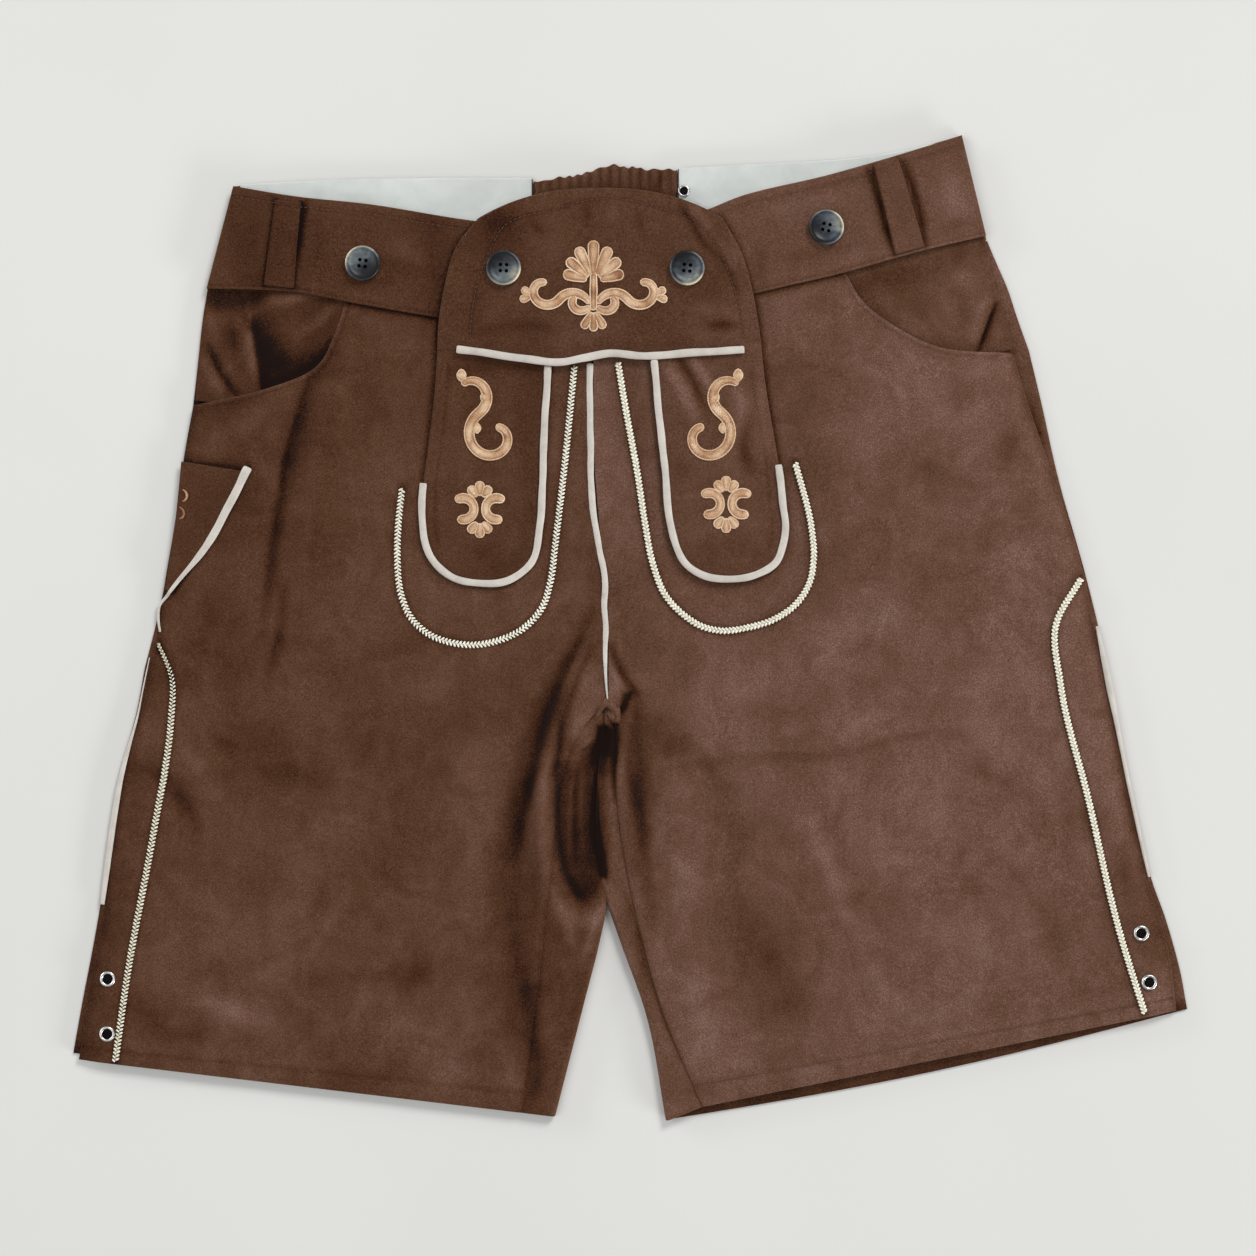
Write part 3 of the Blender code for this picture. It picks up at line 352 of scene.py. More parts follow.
def marks(rows, x, y):
    """Creases and pile marks: (height, tone) at listed plan points.

    A row is height (+ ridge, - trough), tone (+ lighter, - darker), reach to the left and to the
    right of the line, strength at its start and end, the line, and how square its profile is.
    In the crease tables the tone is painted shade in troughs and painted light on ridges; in the
    pile tables it is the pile's stroke with painted shade and light."""
    h, tone = np.zeros(x.shape), np.zeros(x.shape)
    for height, shade, left, right, start, end, line, *square in rows:
        power = square[0] if square else 2.0
        pts = smooth([P(*p) for p in line], 4.0)
        pad = 2.6 * max(left, right)
        m = ((x > pts[:, 0].min() - pad) & (x < pts[:, 0].max() + pad)
             & (y > pts[:, 1].min() - pad) & (y < pts[:, 1].max() + pad))
        if not m.any():
            continue
        d, w, off = near(pts, x[m], y[m])
        t = np.clip(off / (0.8 * min(left, right)), -1, 1)
        t = 0.5 + 0.5 * np.sin(t * math.pi / 2)
        reach = right + (left - right) * t
        f = np.exp(-(d / reach) ** power) * np.interp(w, [0, 0.22, 0.72, 1], [start, 1, 1, end])
        h[m] += height * f
        tone[m] += shade * f
    return h, tone


def areas(rows, x, y):
    """Drawn patches: (height, tone, softness of the edge, outline); the tone is painted shade."""
    h, tone = np.zeros(x.shape), np.zeros(x.shape)
    for height, shade, soft, line in rows:
        pts = smooth([P(*p) for p in line + line[:1]], 2.0)
        pad = 3 * soft + 1
        m = ((x > pts[:, 0].min() - pad) & (x < pts[:, 0].max() + pad)
             & (y > pts[:, 1].min() - pad) & (y < pts[:, 1].max() + pad))
        if not m.any():
            continue
        px, py = x[m], y[m]
        inside = np.zeros(px.shape, bool)
        for (ax, ay), (bx, by) in zip(pts[:-1], pts[1:]):
            if ay == by:
                continue
            inside ^= ((ay > py) != (by > py)) & (px < (bx - ax) * (py - ay) / (by - ay) + ax)
        d = near(pts, px, py)[0] * np.where(inside, 1, -1)
        f = 0.5 + 0.5 * np.tanh(d / soft)
        h[m] += height * f
        tone[m] += shade * f
    return h, tone


def shade_beside(lines, x, y, reach, depth):
    """Painted contact shadow: a thin dark line beside whatever lies on the cloth."""
    best = np.full(x.shape, 1e9)
    for line in lines:
        p = np.asarray(line, float)
        pad = 4 * reach
        m = ((x > p[:, 0].min() - pad) & (x < p[:, 0].max() + pad)
             & (y > p[:, 1].min() - pad) & (y < p[:, 1].max() + pad))
        if m.any():
            best[m] = np.minimum(best[m], near(p, x[m], y[m])[0])
    return -depth * np.exp(-(best / reach) ** 1.6)


def cloud(x, y, size, seed):
    """Smooth seeded unevenness, -0.5 to 0.5, with swells about size across."""
    table = np.random.RandomState(seed).rand(64, 64)
    u, v = x / size + 17.31, y / size + 29.77
    i, j = np.floor(u).astype(int), np.floor(v).astype(int)
    f, g = u - i, v - j
    f, g = f * f * (3 - 2 * f), g * g * (3 - 2 * g)
    t = lambda a, b: table[a % 64, b % 64]
    return ((t(i, j) * (1 - f) + t(i + 1, j) * f) * (1 - g)
            + (t(i, j + 1) * (1 - f) + t(i + 1, j + 1) * f) * g) - 0.5


def groove(line, x, y, width, depth, lip=0.0, reach=0.0):
    """A seam or stitch line drawn into the cloth: a narrow trough with soft lips beside it."""
    pts = np.asarray(line, float)
    h = np.zeros(x.shape)
    pad = 3 * max(width, reach)
    m = ((x > pts[:, 0].min() - pad) & (x < pts[:, 0].max() + pad)
         & (y > pts[:, 1].min() - pad) & (y < pts[:, 1].max() + pad))
    if m.any():
        d, w, _ = near(pts, x[m], y[m])
        run = w * length_of(pts)
        pucker = 1 + 0.55 * np.sin(run / 1.9 + 2.0 * np.sin(run / 7.3)) * 0.6
        h[m] = -depth * np.exp(-(d / width) ** 2) * pucker
        if lip:
            h[m] += lip * np.exp(-((d - reach) / (0.6 * reach)) ** 2) * (0.75 + 0.25 * np.sin(run / 3.1 + 1.7 * np.sin(run / 11.0)))
    return h


# ---- meshes ---------------------------------------------------------------------------
def unit(v):
    return v / np.maximum(np.linalg.norm(v, axis=-1, keepdims=True), 1e-9)


class Bag:
    """Vertices and faces gathered into one mesh."""

    def __init__(self):
        self.v, self.f, self.a, self.n = [], [], [], 0

    def put(self, v, f, value=0.0):
        v = np.asarray(v, float).reshape(-1, 3)
        self.v.append(v)
        self.a.append(np.full(len(v), value) if np.isscalar(value) else np.asarray(value, float).ravel())
        self.f += [tuple(int(i) + self.n for i in q) for q in f]
        self.n += len(v)

    def arrays(self):
        return np.concatenate(self.v), self.f, np.concatenate(self.a)


def make(name, v, f, mat, tone=None, uv=None):
    me = bpy.data.meshes.new(name)
    me.from_pydata((np.asarray(v) * MM).tolist(), [], [tuple(q) for q in f])
    if tone is not None:
        me.attributes.new("tone", "FLOAT", "POINT").data.foreach_set("value", np.asarray(tone, np.float32).ravel())
    if uv is not None:
        layer = me.uv_layers.new(name="thread")
        loops = np.zeros(len(me.loops), np.int32)
        me.loops.foreach_get("vertex_index", loops)
        layer.data.foreach_set("uv", np.asarray(uv, np.float32)[loops].ravel())
    me.polygons.foreach_set("use_smooth", [True] * len(me.polygons))
    me.materials.append(mat)
    me.validate()
    me.update()
    ob = bpy.data.objects.new(name, me)
    bpy.context.scene.collection.objects.link(ob)
    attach(ob, "root")
    return ob


TREES = {}


def tree_of(name, v, f):
    TREES[name] = BVHTree.FromPolygons([Vector(p) for p in v], [tuple(q) for q in f])
    return TREES[name]


def shell(name, mid, wall, mat, tone=None, tree=True):
    """A wall of cloth on a grid of middle points (rows, columns, xyz), its edges rounded over."""
    rows, cols = mid.shape[:2]
    n = unit(np.cross(np.gradient(mid, axis=1), np.gradient(mid, axis=0)))
    r = wall / 2
    idx = np.arange(rows * cols).reshape(rows, cols)
    loop = np.concatenate([idx[0, :], idx[1:, -1], idx[-1, -2::-1], idx[-2:0:-1, 0]])
    flat, nf = mid.reshape(-1, 3), n.reshape(-1, 3)
    edge, en = flat[loop], nf[loop]
    t = unit(np.roll(edge, -1, axis=0) - np.roll(edge, 1, axis=0))
    out = unit(np.cross(t, en))
    for _ in range(2):
        out = unit(out + 0.5 * (np.roll(out, 1, axis=0) + np.roll(out, -1, axis=0)) * 0.3)
    core = edge - out * r
    top, low = flat + nf * r, flat - nf * r
    top[loop], low[loop] = core + en * r, core - en * r
    rings = [core + out * (r * math.cos(a)) + en * (r * math.sin(a)) for a in (math.radians(50), 0.0, math.radians(-50))]
    N, M = rows * cols, len(loop)
    v = np.concatenate([top, low] + rings)
    q = np.stack([idx[:-1, :-1], idx[:-1, 1:], idx[1:, 1:], idx[1:, :-1]], -1).reshape(-1, 4)
    f = [q, q[:, ::-1] + N]
    levels = [loop] + [2 * N + k * M + np.arange(M) for k in range(3)] + [loop + N]
    for a, b in zip(levels, levels[1:]):
        f.append(np.stack([a, b, np.roll(b, -1), np.roll(a, -1)], -1))
    f = np.concatenate(f)
    tn = None
    if tone is not None:
        tn = np.asarray(tone, float).reshape(-1)
        tn = np.concatenate([tn, tn] + [tn[loop]] * 3)
    ob = make(name, v, f.tolist(), mat, tn)
    if tree:
        tree_of(name, v[:N], q.tolist())
    return ob


def top_at(names, x, y, reach=0.0, low=0.0):
    """Highest carrier surface in plan, for arrays of points."""
    x, y = np.asarray(x, float), np.asarray(y, float)
    out = np.full(x.shape, low, float)
    spots = [(0.0, 0.0)]
    if reach:
        spots += [(reach * math.cos(a * math.pi / 4), reach * math.sin(a * math.pi / 4)) for a in range(8)]
    down = Vector((0, 0, -1))
    xf, yf, of = x.ravel(), y.ravel(), out.ravel()
    for name in names:
        ray = TREES[name].ray_cast
        for k in range(xf.size):
            z = of[k]
            for dx, dy in spots:
                hit = ray(Vector((xf[k] + dx, yf[k] + dy, 60.0)), down)[0]
                if hit is not None and hit.z > z:
                    z = hit.z
            of[k] = z
    return of.reshape(x.shape)


def blur(z, times):
    """Smooths a height grid in both directions."""
    for _ in range(times):
        p = np.pad(z, 1, mode="edge")
        z = 0.5 * z + 0.125 * (p[:-2, 1:-1] + p[2:, 1:-1] + p[1:-1, :-2] + p[1:-1, 2:])
    return z


def blur_line(z, times):
    for _ in range(times):
        p = np.pad(z, 1, mode="edge")
        z = 0.5 * z + 0.25 * (p[:-2] + p[2:])
    return z


def sweep(path, profile, scale=None, up=None, ends=True):
    """A section carried along a path of points. Returns vertices and faces of a closed tube."""
    p = np.asarray(path, float)
    t = unit(np.gradient(p, axis=0))
    up = np.array([0.0, 0.0, 1.0]) if up is None else np.asarray(up, float)
    side = unit(np.cross(t, np.broadcast_to(up, t.shape)))
    rise = np.cross(side, t)
    prof = np.asarray(profile, float)
    k = len(prof)
    s = np.ones(len(p)) if scale is None else np.asarray(scale, float)
    v = (p[:, None, :] + side[:, None, :] * prof[None, :, 0:1] * s[:, None, None]
         + rise[:, None, :] * prof[None, :, 1:2] * s[:, None, None]).reshape(-1, 3)
    i = np.arange(len(p) - 1)[:, None] * k
    a = np.arange(k)[None, :]
    b = (a + 1) % k
    f = np.stack([i + a, i + b, i + k + b, i + k + a], -1).reshape(-1, 4).tolist()
    if ends:
        f.append(list(range(k))[::-1])
        f.append([(len(p) - 1) * k + a for a in range(k)])
    return v, f


def oval(w, h, n, flat=0.0):
    """Section of a cord, counted so that its faces look outwards."""
    a = -np.arange(n) * 2 * math.pi / n
    y = np.sin(a) * h / 2
    return np.stack([np.cos(a) * w / 2, np.where(y < 0, y * (1 - flat), y)], -1)


# ---- materials ----------------------------------------------------------------------------
def srgb(r, g, b):
    f = lambda c: c / 12.92 if c <= 0.04045 else ((c + 0.055) / 1.055) ** 2.4
    return f(r / 255), f(g / 255), f(b / 255), 1.0


class Graph:
    """Small helper that writes a node tree."""

    def __init__(self, name, rough=0.8, sheen=0.0, sheen_tint=(1, 1, 1, 1), specular=0.5, metal=0.0):
        self.m = bpy.data.materials.new(name)
        self.m.use_nodes = True
        self.t = self.m.node_tree
        self.b = self.t.nodes["Principled BSDF"]
        self.b.inputs["Roughness"].default_value = rough
        self.b.inputs["Metallic"].default_value = metal
        self.b.inputs["Specular IOR Level"].default_value = specular
        self.b.inputs["Sheen Weight"].default_value = sheen
        self.b.inputs["Sheen Roughness"].default_value = 0.45
        self.b.inputs["Sheen Tint"].default_value = sheen_tint
        self.coord = self.t.nodes.new("ShaderNodeTexCoord").outputs["Object"]

    def put(self, socket, value):
        if hasattr(value, "is_output"):
            self.t.links.new(value, socket)
        else:
            socket.default_value = value

    def math(self, op, a, b=0.5, c=0.5, clamp=False):
        n = self.t.nodes.new("ShaderNodeMath")
        n.operation, n.use_clamp = op, clamp
        for s, v in zip(n.inputs, (a, b, c)):
            self.put(s, v)
        return n.outputs[0]

    def at(self, scale=(1, 1, 1), turn=0.0, coord=None):
        n = self.t.nodes.new("ShaderNodeMapping")
        n.inputs["Scale"].default_value = scale
        n.inputs["Rotation"].default_value = (0, 0, math.radians(turn))
        self.put(n.inputs["Vector"], coord or self.coord)
        return n.outputs[0]

    def noise(self, scale, detail=3.0, rough=0.55, distort=0.0, coord=None):
        n = self.t.nodes.new("ShaderNodeTexNoise")
        n.inputs["Scale"].default_value = scale
        n.inputs["Detail"].default_value = detail
        n.inputs["Roughness"].default_value = rough
        n.inputs["Distortion"].default_value = distort
        self.put(n.inputs["Vector"], coord or self.coord)
        return n.outputs["Fac"]

    def voronoi(self, scale, coord=None, feature="F1"):
        n = self.t.nodes.new("ShaderNodeTexVoronoi")
        n.feature = feature
        n.inputs["Scale"].default_value = scale
        self.put(n.inputs["Vector"], coord or self.coord)
        return n.outputs["Distance"]

    def wave(self, scale, coord, distort=0.0, direction="X"):
        n = self.t.nodes.new("ShaderNodeTexWave")
        n.bands_direction = direction
        n.inputs["Scale"].default_value = scale
        n.inputs["Distortion"].default_value = distort
        self.put(n.inputs["Vector"], coord)
        return n.outputs["Fac"]

    def attribute(self, name):
        n = self.t.nodes.new("ShaderNodeAttribute")
        n.attribute_type = "GEOMETRY"
        n.attribute_name = name
        return n.outputs["Fac"]

    def ramp(self, value, stops, mode="EASE"):
        n = self.t.nodes.new("ShaderNodeValToRGB")
        n.color_ramp.interpolation = "LINEAR"
        e = n.color_ramp.elements
        while len(e) < len(stops):
            e.new(0.5)
        for k, (p, c) in enumerate(stops):
            e[k].position, e[k].color = p, c
        self.put(n.inputs[0], value)
        return n.outputs[0]

    def mix(self, fac, a, b, mode="MIX"):
        n = self.t.nodes.new("ShaderNodeMix")
        n.data_type, n.blend_type = "RGBA", mode
        self.put(n.inputs["Factor"], fac)
        self.put(n.inputs["A"], a)
        self.put(n.inputs["B"], b)
        return n.outputs["Result"]

    def bump(self, height, distance, strength=1.0, normal=None):
        n = self.t.nodes.new("ShaderNodeBump")
        n.inputs["Strength"].default_value = strength
        n.inputs["Distance"].default_value = distance
        self.put(n.inputs["Height"], height)
        if normal is not None:
            self.put(n.inputs["Normal"], normal)
        return n.outputs[0]

    def colour(self, socket):
        self.put(self.b.inputs["Base Color"], socket)

    def rough(self, socket):
        self.put(self.b.inputs["Roughness"], socket)

    def normal(self, socket):
        self.put(self.b.inputs["Normal"], socket)

    def centred(self, fac, gain):
        """(fac - 0.5) * gain"""
        return self.math("MULTIPLY_ADD", fac, gain, -0.5 * gain)

    def total(self, *values):
        out = values[0]
        for v in values[1:]:
            out = self.math("ADD", out, v)
        return out


def suede(name, cloudy=1.0, grain=1.0):
    """Napped faux suede: brushed clouds, smears, short pile. The tone attribute carries listed pile marks with painted
    shade and light; the ramp's two darkest stops give the painted near-black of the crotch hollows.
    """
    g = Graph(name, rough=0.92, sheen=0.20, sheen_tint=(0.62, 0.43, 0.34, 1), specular=0.16)
    big = g.noise(12, 2, 0.5, 0.8)
    mottle = g.noise(36, 3, 0.5, 1.6)
    patch = g.noise(70, 2, 0.5, 1.2)
    smear = g.noise(1.0, 3, 0.55, 0.6, g.at((130, 34, 60), 24))
    smear2 = g.noise(1.0, 3, 0.55, 0.6, g.at((110, 26, 60), -30))
    pile = g.noise(300, 3, 0.62)
    fine = g.noise(1000, 2, 0.7)
    grit = g.noise(2100, 1, 0.5)
    tone = g.total(g.attribute("tone"), g.centred(big, 0.44 * cloudy), g.centred(mottle, 0.36 * cloudy),
                   g.centred(patch, 0.08 * cloudy), g.centred(smear, 0.12 * cloudy), g.centred(smear2, 0.09 * cloudy),
                   g.centred(pile, 0.11 * grain), g.centred(fine, 0.72 * grain), g.centred(grit, 0.8 * grain))
    base = g.ramp(tone, [(0.0, srgb(20, 5, 1)), (0.05, srgb(36, 11, 2)), (0.25, srgb(65, 35, 16)), (0.5, srgb(84, 55, 37)),
                         (0.75, srgb(105, 75, 62)), (1.0, srgb(134, 104, 94))])
    g.colour(base)
    h = g.total(g.centred(pile, 0.45), g.centred(fine, 0.9), g.centred(mottle, 0.3))
    g.normal(g.bump(h, 0.00028 * grain, 0.9))
    return g.m


def build_materials():
    m = {}
    m["suede"] = suede("suede_nap")
    m["band"] = suede("suede_band", 0.45, 1.0)
    m["bib"] = suede("suede_bib", 0.6, 1.0)

    g = Graph("cotton_white", rough=0.85, sheen=0.15, specular=0.25)
    warp = g.wave(1500, g.at((1, 1, 1)), 0.6, "X")
    weft = g.wave(1500, g.at((1, 1, 1)), 0.6, "Y")
    weave = g.math("MULTIPLY", warp, weft)
    stain = g.noise(60, 4, 0.6, 0.6)
    t = g.total(0.5, g.centred(stain, 0.7), g.centred(weave, 0.3))
    g.colour(g.ramp(t, [(0.0, srgb(196, 204, 202)), (0.5, srgb(222, 227, 224)), (1.0, srgb(238, 240, 237))]))
    g.normal(g.bump(weave, 0.00012, 0.8))
    m["facing"] = g.m

    g = Graph("piping_satin", rough=0.5, sheen=0.1, specular=0.4)
    cloudy = g.noise(90, 3, 0.6)
    fine = g.math("MULTIPLY", g.wave(420, g.at((1, 1, 1), 45), 1.0, "X"), g.wave(420, g.at((1, 1, 1), 45), 1.0, "Y"))
    t = g.total(0.5, g.centred(cloudy, 0.8), g.centred(fine, 0.35))
    g.colour(g.ramp(t, [(0.0, srgb(168, 162, 154)), (0.5, srgb(207, 201, 193)), (1.0, srgb(230, 224, 216))]))
    g.normal(g.bump(g.total(fine, g.centred(cloudy, 0.8)), 0.00010, 0.7))
    m["piping"] = g.m

    g = Graph("braid_thread", rough=0.6, sheen=0.2, specular=0.35)
    tw = g.noise(1.0, 2, 0.5, 0.2, g.at((2600, 700, 1500), 25))
    shade = g.noise(260, 2, 0.5)
    t = g.total(0.74, g.centred(tw, 0.7), g.centred(shade, 0.5), g.math("MULTIPLY", g.attribute("tone"), 1.0))
    g.colour(g.ramp(t, [(0.0, srgb(136, 124, 94)), (0.4, srgb(226, 222, 202)), (1.0, srgb(252, 252, 243))]))
    g.normal(g.bump(tw, 0.00012, 0.8))
    m["braid"] = g.m

    g = Graph("satin_stitch", rough=0.38, sheen=0.12, specular=0.55)
    g.b.inputs["Anisotropic"].default_value = 0.45
    uv = g.t.nodes.new("ShaderNodeUVMap")
    uv.uv_map = "thread"
    lay = g.at((1, 1, 1), 0, uv.outputs[0])
    strand = g.wave(1.15, lay, 1.2, "Y")
    strand2 = g.noise(3.2, 2, 0.5, 0.0, g.at((0.25, 1.0, 1.0), 0, uv.outputs[0]))
    patch = g.noise(120, 3, 0.55, 0.5)
    t = g.total(g.attribute("tone"), g.centred(strand, 0.34), g.centred(strand2, 0.62), g.centred(patch, 0.80))
    g.colour(g.ramp(t, [(0.0, srgb(84, 46, 24)), (0.34, srgb(145, 92, 55)), (0.5, srgb(186, 132, 89)),
                        (0.64, srgb(219, 173, 129)), (0.88, srgb(243, 216, 184))]))
    g.normal(g.bump(g.total(strand, g.centred(strand2, 0.6)), 0.00016, 0.8))
    m["embroidery"] = g.m

    g = Graph("edge_cord", rough=0.42, sheen=0.1, specular=0.5)
    speck = g.noise(900, 2, 0.6)
    patch = g.noise(150, 2, 0.5)
    t = g.total(g.attribute("tone"), g.centred(speck, 0.5), g.centred(patch, 0.4))
    g.colour(g.ramp(t, [(0.0, srgb(126, 86, 56)), (0.4, srgb(196, 156, 120)), (0.7, srgb(234, 206, 174)),
                        (1.0, srgb(250, 234, 210))]))
    g.normal(g.bump(speck, 0.00008, 0.6))
    m["cord"] = g.m

    g = Graph("thread_brown", rough=0.7, sheen=0.1, specular=0.3)
    tw = g.noise(1400, 2, 0.5)
    g.colour(g.ramp(tw, [(0.3, srgb(60, 38, 26)), (0.7, srgb(98, 70, 56))]))
    g.normal(g.bump(tw, 0.00006, 0.6))
    m["thread"] = g.m

    g = Graph("thread_in_painted_shade", rough=0.9, specular=0.1)
    n = g.noise(900, 2, 0.5)
    g.colour(g.ramp(n, [(0.3, srgb(8, 7, 8)), (0.7, srgb(26, 20, 18))]))
    m["thread_dark"] = g.m

    g = Graph("button_horn", rough=0.36, specular=0.32)
    swirl = g.noise(80, 4, 0.62, 2.0)
    streak = g.noise(1.0, 3, 0.6, 1.4, g.at((90, 260, 120), 35))
    t = g.total(g.attribute("tone"), g.centred(swirl, 0.5), g.centred(streak, 0.34))
    g.colour(g.ramp(t, [(0.0, srgb(14, 14, 16)), (0.22, srgb(29, 31, 36)), (0.42, srgb(60, 67, 75)),
                        (0.6, srgb(100, 107, 110)), (0.8, srgb(152, 149, 132)), (1.0, srgb(212, 204, 178))]))
    g.normal(g.bump(streak, 0.00005, 0.5))
    m["horn"] = g.m

    g = Graph("eyelet_metal", rough=0.3, specular=0.5, metal=1.0)
    wear = g.noise(700, 3, 0.6)
    g.colour(g.ramp(wear, [(0.3, srgb(188, 188, 186)), (0.7, srgb(240, 240, 240))]))
    g.rough(g.math("MULTIPLY_ADD", wear, 0.3, 0.18))
    m["eyelet"] = g.m

    g = Graph("hole_painted_shade", rough=0.9, specular=0.1)
    n = g.noise(800, 2, 0.5)
    g.colour(g.ramp(n, [(0.3, srgb(8, 6, 6)), (0.7, srgb(22, 16, 14))]))
    m["hole"] = g.m

    g = Graph("floor_paper", rough=0.95, specular=0.1)
    n = g.noise(3, 3, 0.5)
    g.colour(g.ramp(n, [(0.3, srgb(220, 220, 218)), (0.7, srgb(224, 224, 222))]))
    m["floor"] = g.m
    return m


MAT = build_materials()


# ---- creases: height, tone (painted shade in troughs, painted light on ridges), reach left, reach right, start, end, line, squareness ----
RIGHT_LEG = [
    # the trough that runs down from the pocket's corner and forks
    (-1.6, -.34, 8.5, 2.0, .7, .5, [(331, 330), (318, 356), (306, 385), (296, 420), (286, 455), (281, 480)]),
    (-1.2, -.26, 5.0, 3.0, .5, .3, [(285, 460), (279, 510), (272, 550), (267, 592), (259, 634)]),
    (-.8, -.22, 3.4, 3.4, .5, .2, [(284, 588), (281, 625), (272, 662), (264, 692)]),
    (1.3, .06, 9, 9, .6, .2, [(345, 372), (322, 430), (308, 500), (300, 600)]),
    (.9, .05, 7, 7, .3, .2, [(270, 410), (266, 450), (262, 500)]),
    (-.6, -.12, 8, 8, .3, .2, [(222, 392), (230, 430), (236, 470)]),
    (-.6, -.16, 11, 11, .4, .4, [(208, 745), (248, 738), (290, 752)]),
    (-.5, -.16, 6, 7, .4, .2, [(250, 768), (298, 775), (332, 778)]),
    (-1.1, -.28, 4.5, 6, .6, .2, [(130, 768), (150, 770), (172, 783), (188, 808), (203, 842)]),
    (.6, .09, 7, 7, .3, .3, [(180, 745), (200, 770), (222, 812)]),
    (.5, .06, 14, 14, .3, .3, [(300, 900), (380, 780)]),
    (.4, .05, 14, 14, .3, .3, [(420, 700), (500, 640)]),
    (.4, .09, 3, 4, .2, .2, [(348, 895), (322, 935), (304, 968)]),
    (-.3, -.09, 5, 5, .3, .3, [(322, 890), (312, 912), (306, 930)]),
    # the crotch: a sharp trough, the lit ridge beside it, soft shade towards the hem
    (-2.0, -.38, 3.0, 5.5, .3, .1, [(592, 612), (584, 630), (578, 645), (571, 661), (563, 680), (557, 696), (551, 712), (545, 732), (542, 750), (538, 768), (532, 786), (528, 806), (523, 828), (519, 856)]),
    (-.4, -.24, 5, 12, .5, .5, [(562, 690), (540, 745), (526, 790), (514, 850)]),
    (-.5, -.20, 6, 12, .7, .5, [(518, 830), (512, 880), (512, 930), (522, 985)]),
    (-.5, -.24, 5, 6, .4, .6, [(524, 975), (533, 1030), (536, 1083), (527, 1110)]),
    (1.8, .20, 3.6, 3.2, .4, .4, [(574, 668), (562, 694), (554, 714), (548, 738), (543, 766), (541, 800), (541, 845), (546, 880)]),
    (-.7, -.20, 2.2, 2.6, .4, .6, [(593, 648), (581, 672), (569, 700), (562, 726), (558, 751), (551, 774)]),
    (.7, .12, 3.0, 3.0, .4, .4, [(592, 664), (582, 690), (576, 715), (572, 742)]),
]
LEFT_LEG = [
    (-.8, -.13, 3.2, 4.2, .2, .3, [(664, 771), (700, 764), (737, 759), (784, 756), (843, 753), (874, 744), (919, 735), (968, 734)]),
    (.5, .07, 5, 5, .3, .2, [(655, 772), (685, 756), (715, 738)]),
    (.5, .05, 8, 8, .3, .2, [(740, 735), (820, 730), (900, 715)]),
    (-.9, -.34, 4.2, 1.3, .7, .8, [(609, 646), (613, 662), (620, 675), (627, 686), (632, 693)]),
    (-.7, -.34, 5, 6, .5, .5, [(634, 700), (636, 735), (640, 780), (644, 850), (652, 920)]),
    (-.7, -.26, 2.4, 2.4, .8, .4, [(617, 716), (614, 738), (613, 765), (615, 800)]),
    (.7, .18, 2.6, 3.0, .5, .4, [(630, 704), (625, 730), (622, 760), (624, 800)]),
    (.5, .16, 3.0, 3.6, .4, .4, [(611, 668), (617, 686), (616, 700)]),
    (-.5, -.20, 12, 12, .7, .2, [(640, 715), (668, 742), (702, 765)]),
    (-.3, -.12, 6, 7, .5, .3, [(704, 762), (718, 780), (729, 800)]),
    (-.3, -.10, 10, 10, .4, .4, [(726, 775), (732, 829), (726, 888), (744, 938)]),
    (.4, .10, 11, 11, .3, .3, [(676, 800), (684, 870), (692, 940), (704, 1010), (716, 1052)]),
    (.4, .09, 4, 4.5, .2, .2, [(796, 788), (825, 859), (849, 924), (884, 988), (904, 1014)]),
    (-.3, -.07, 6, 6, .2, .2, [(812, 778), (842, 850), (868, 915)]),
    (-.5, -.16, 5, 5, .4, .3, [(965, 768), (994, 778), (1022, 796)]),
    (.7, .13, 11, 12, .4, .4, [(900, 370), (960, 371), (1012, 368)]),
    (-.4, -.13, 22, 22, .6, .6, [(782, 345), (806, 385), (800, 432)]),
    (.3, .06, 3, 3, .2, .2, [(896, 541), (930, 549), (968, 560)]),
]
CROTCH = [
    # streaks of painted shade and light in the hollow of turned cloth
    (-.5, -.22, 2.6, 3.2, .3, .7, [(560, 702), (560, 730), (558, 760), (556, 792), (558, 830), (561, 856), (569, 880), (581, 898)]),
    (.5, .13, 1.4, 1.4, .3, .3, [(571, 775), (569, 815), (569, 862)]),
    (.4, .10, 1.2, 1.4, .3, .3, [(583, 762), (581, 820), (585, 866)]),
    (-.3, -.12, 1.2, 1.4, .3, .3, [(577, 770), (575, 830), (577, 872)]),
    # the lit edge below it
    (.9, .26, 3.4, 3.4, .4, .3, [(552, 888), (563, 916), (576, 950)]),
    (.8, .24, 3.0, 3.0, .4, .3, [(603, 902), (593, 930), (581, 962)]),
    (.6, .26, 5, 5, .4, .4, [(566, 908), (581, 923), (596, 910)]),
    (-.3, -.12, 6, 6, .4, .4, [(590, 985), (572, 1020), (560, 1060)]),
    # round the gathered knot where four seams meet, and down the inseam: painted shade and light
    (1.0, .22, 6, 6, .7, .8, [(596, 676), (594, 696), (588, 714), (580, 734)]),
    (-.5, -.30, .9, .9, .6, .4, [(581, 750), (588, 746.5), (592.5, 739)]),
    (0, -.13, 7, 7, .5, .5, [(557, 690), (556, 730), (560, 770)]),
    (.4, .14, 1.6, 1.6, .5, .5, [(582, 745.5), (589, 741.5), (595, 733)]),
    (-.6, -.30, 1.4, 1.8, .7, .2, [(617, 722), (618, 740), (616, 760), (614, 778), (615, 800)]),
    (-.3, -.30, 4.6, 5.2, .5, .4, [(624, 712), (623, 740), (627, 768), (633, 792), (638, 815), (642, 842)]),
    (-.5, -.18, 1.6, 2.4, .4, .3, [(636, 930), (646, 968), (664, 1020), (684, 1066)]),
    (-.3, -.14, 1.4, 2.0, .4, .3, [(621, 880), (632, 915), (642, 946)]),
    (-.5, -.24, 2.4, 1.4, .4, .6, [(612, 648), (618, 664), (626, 678), (634, 690)]),
]
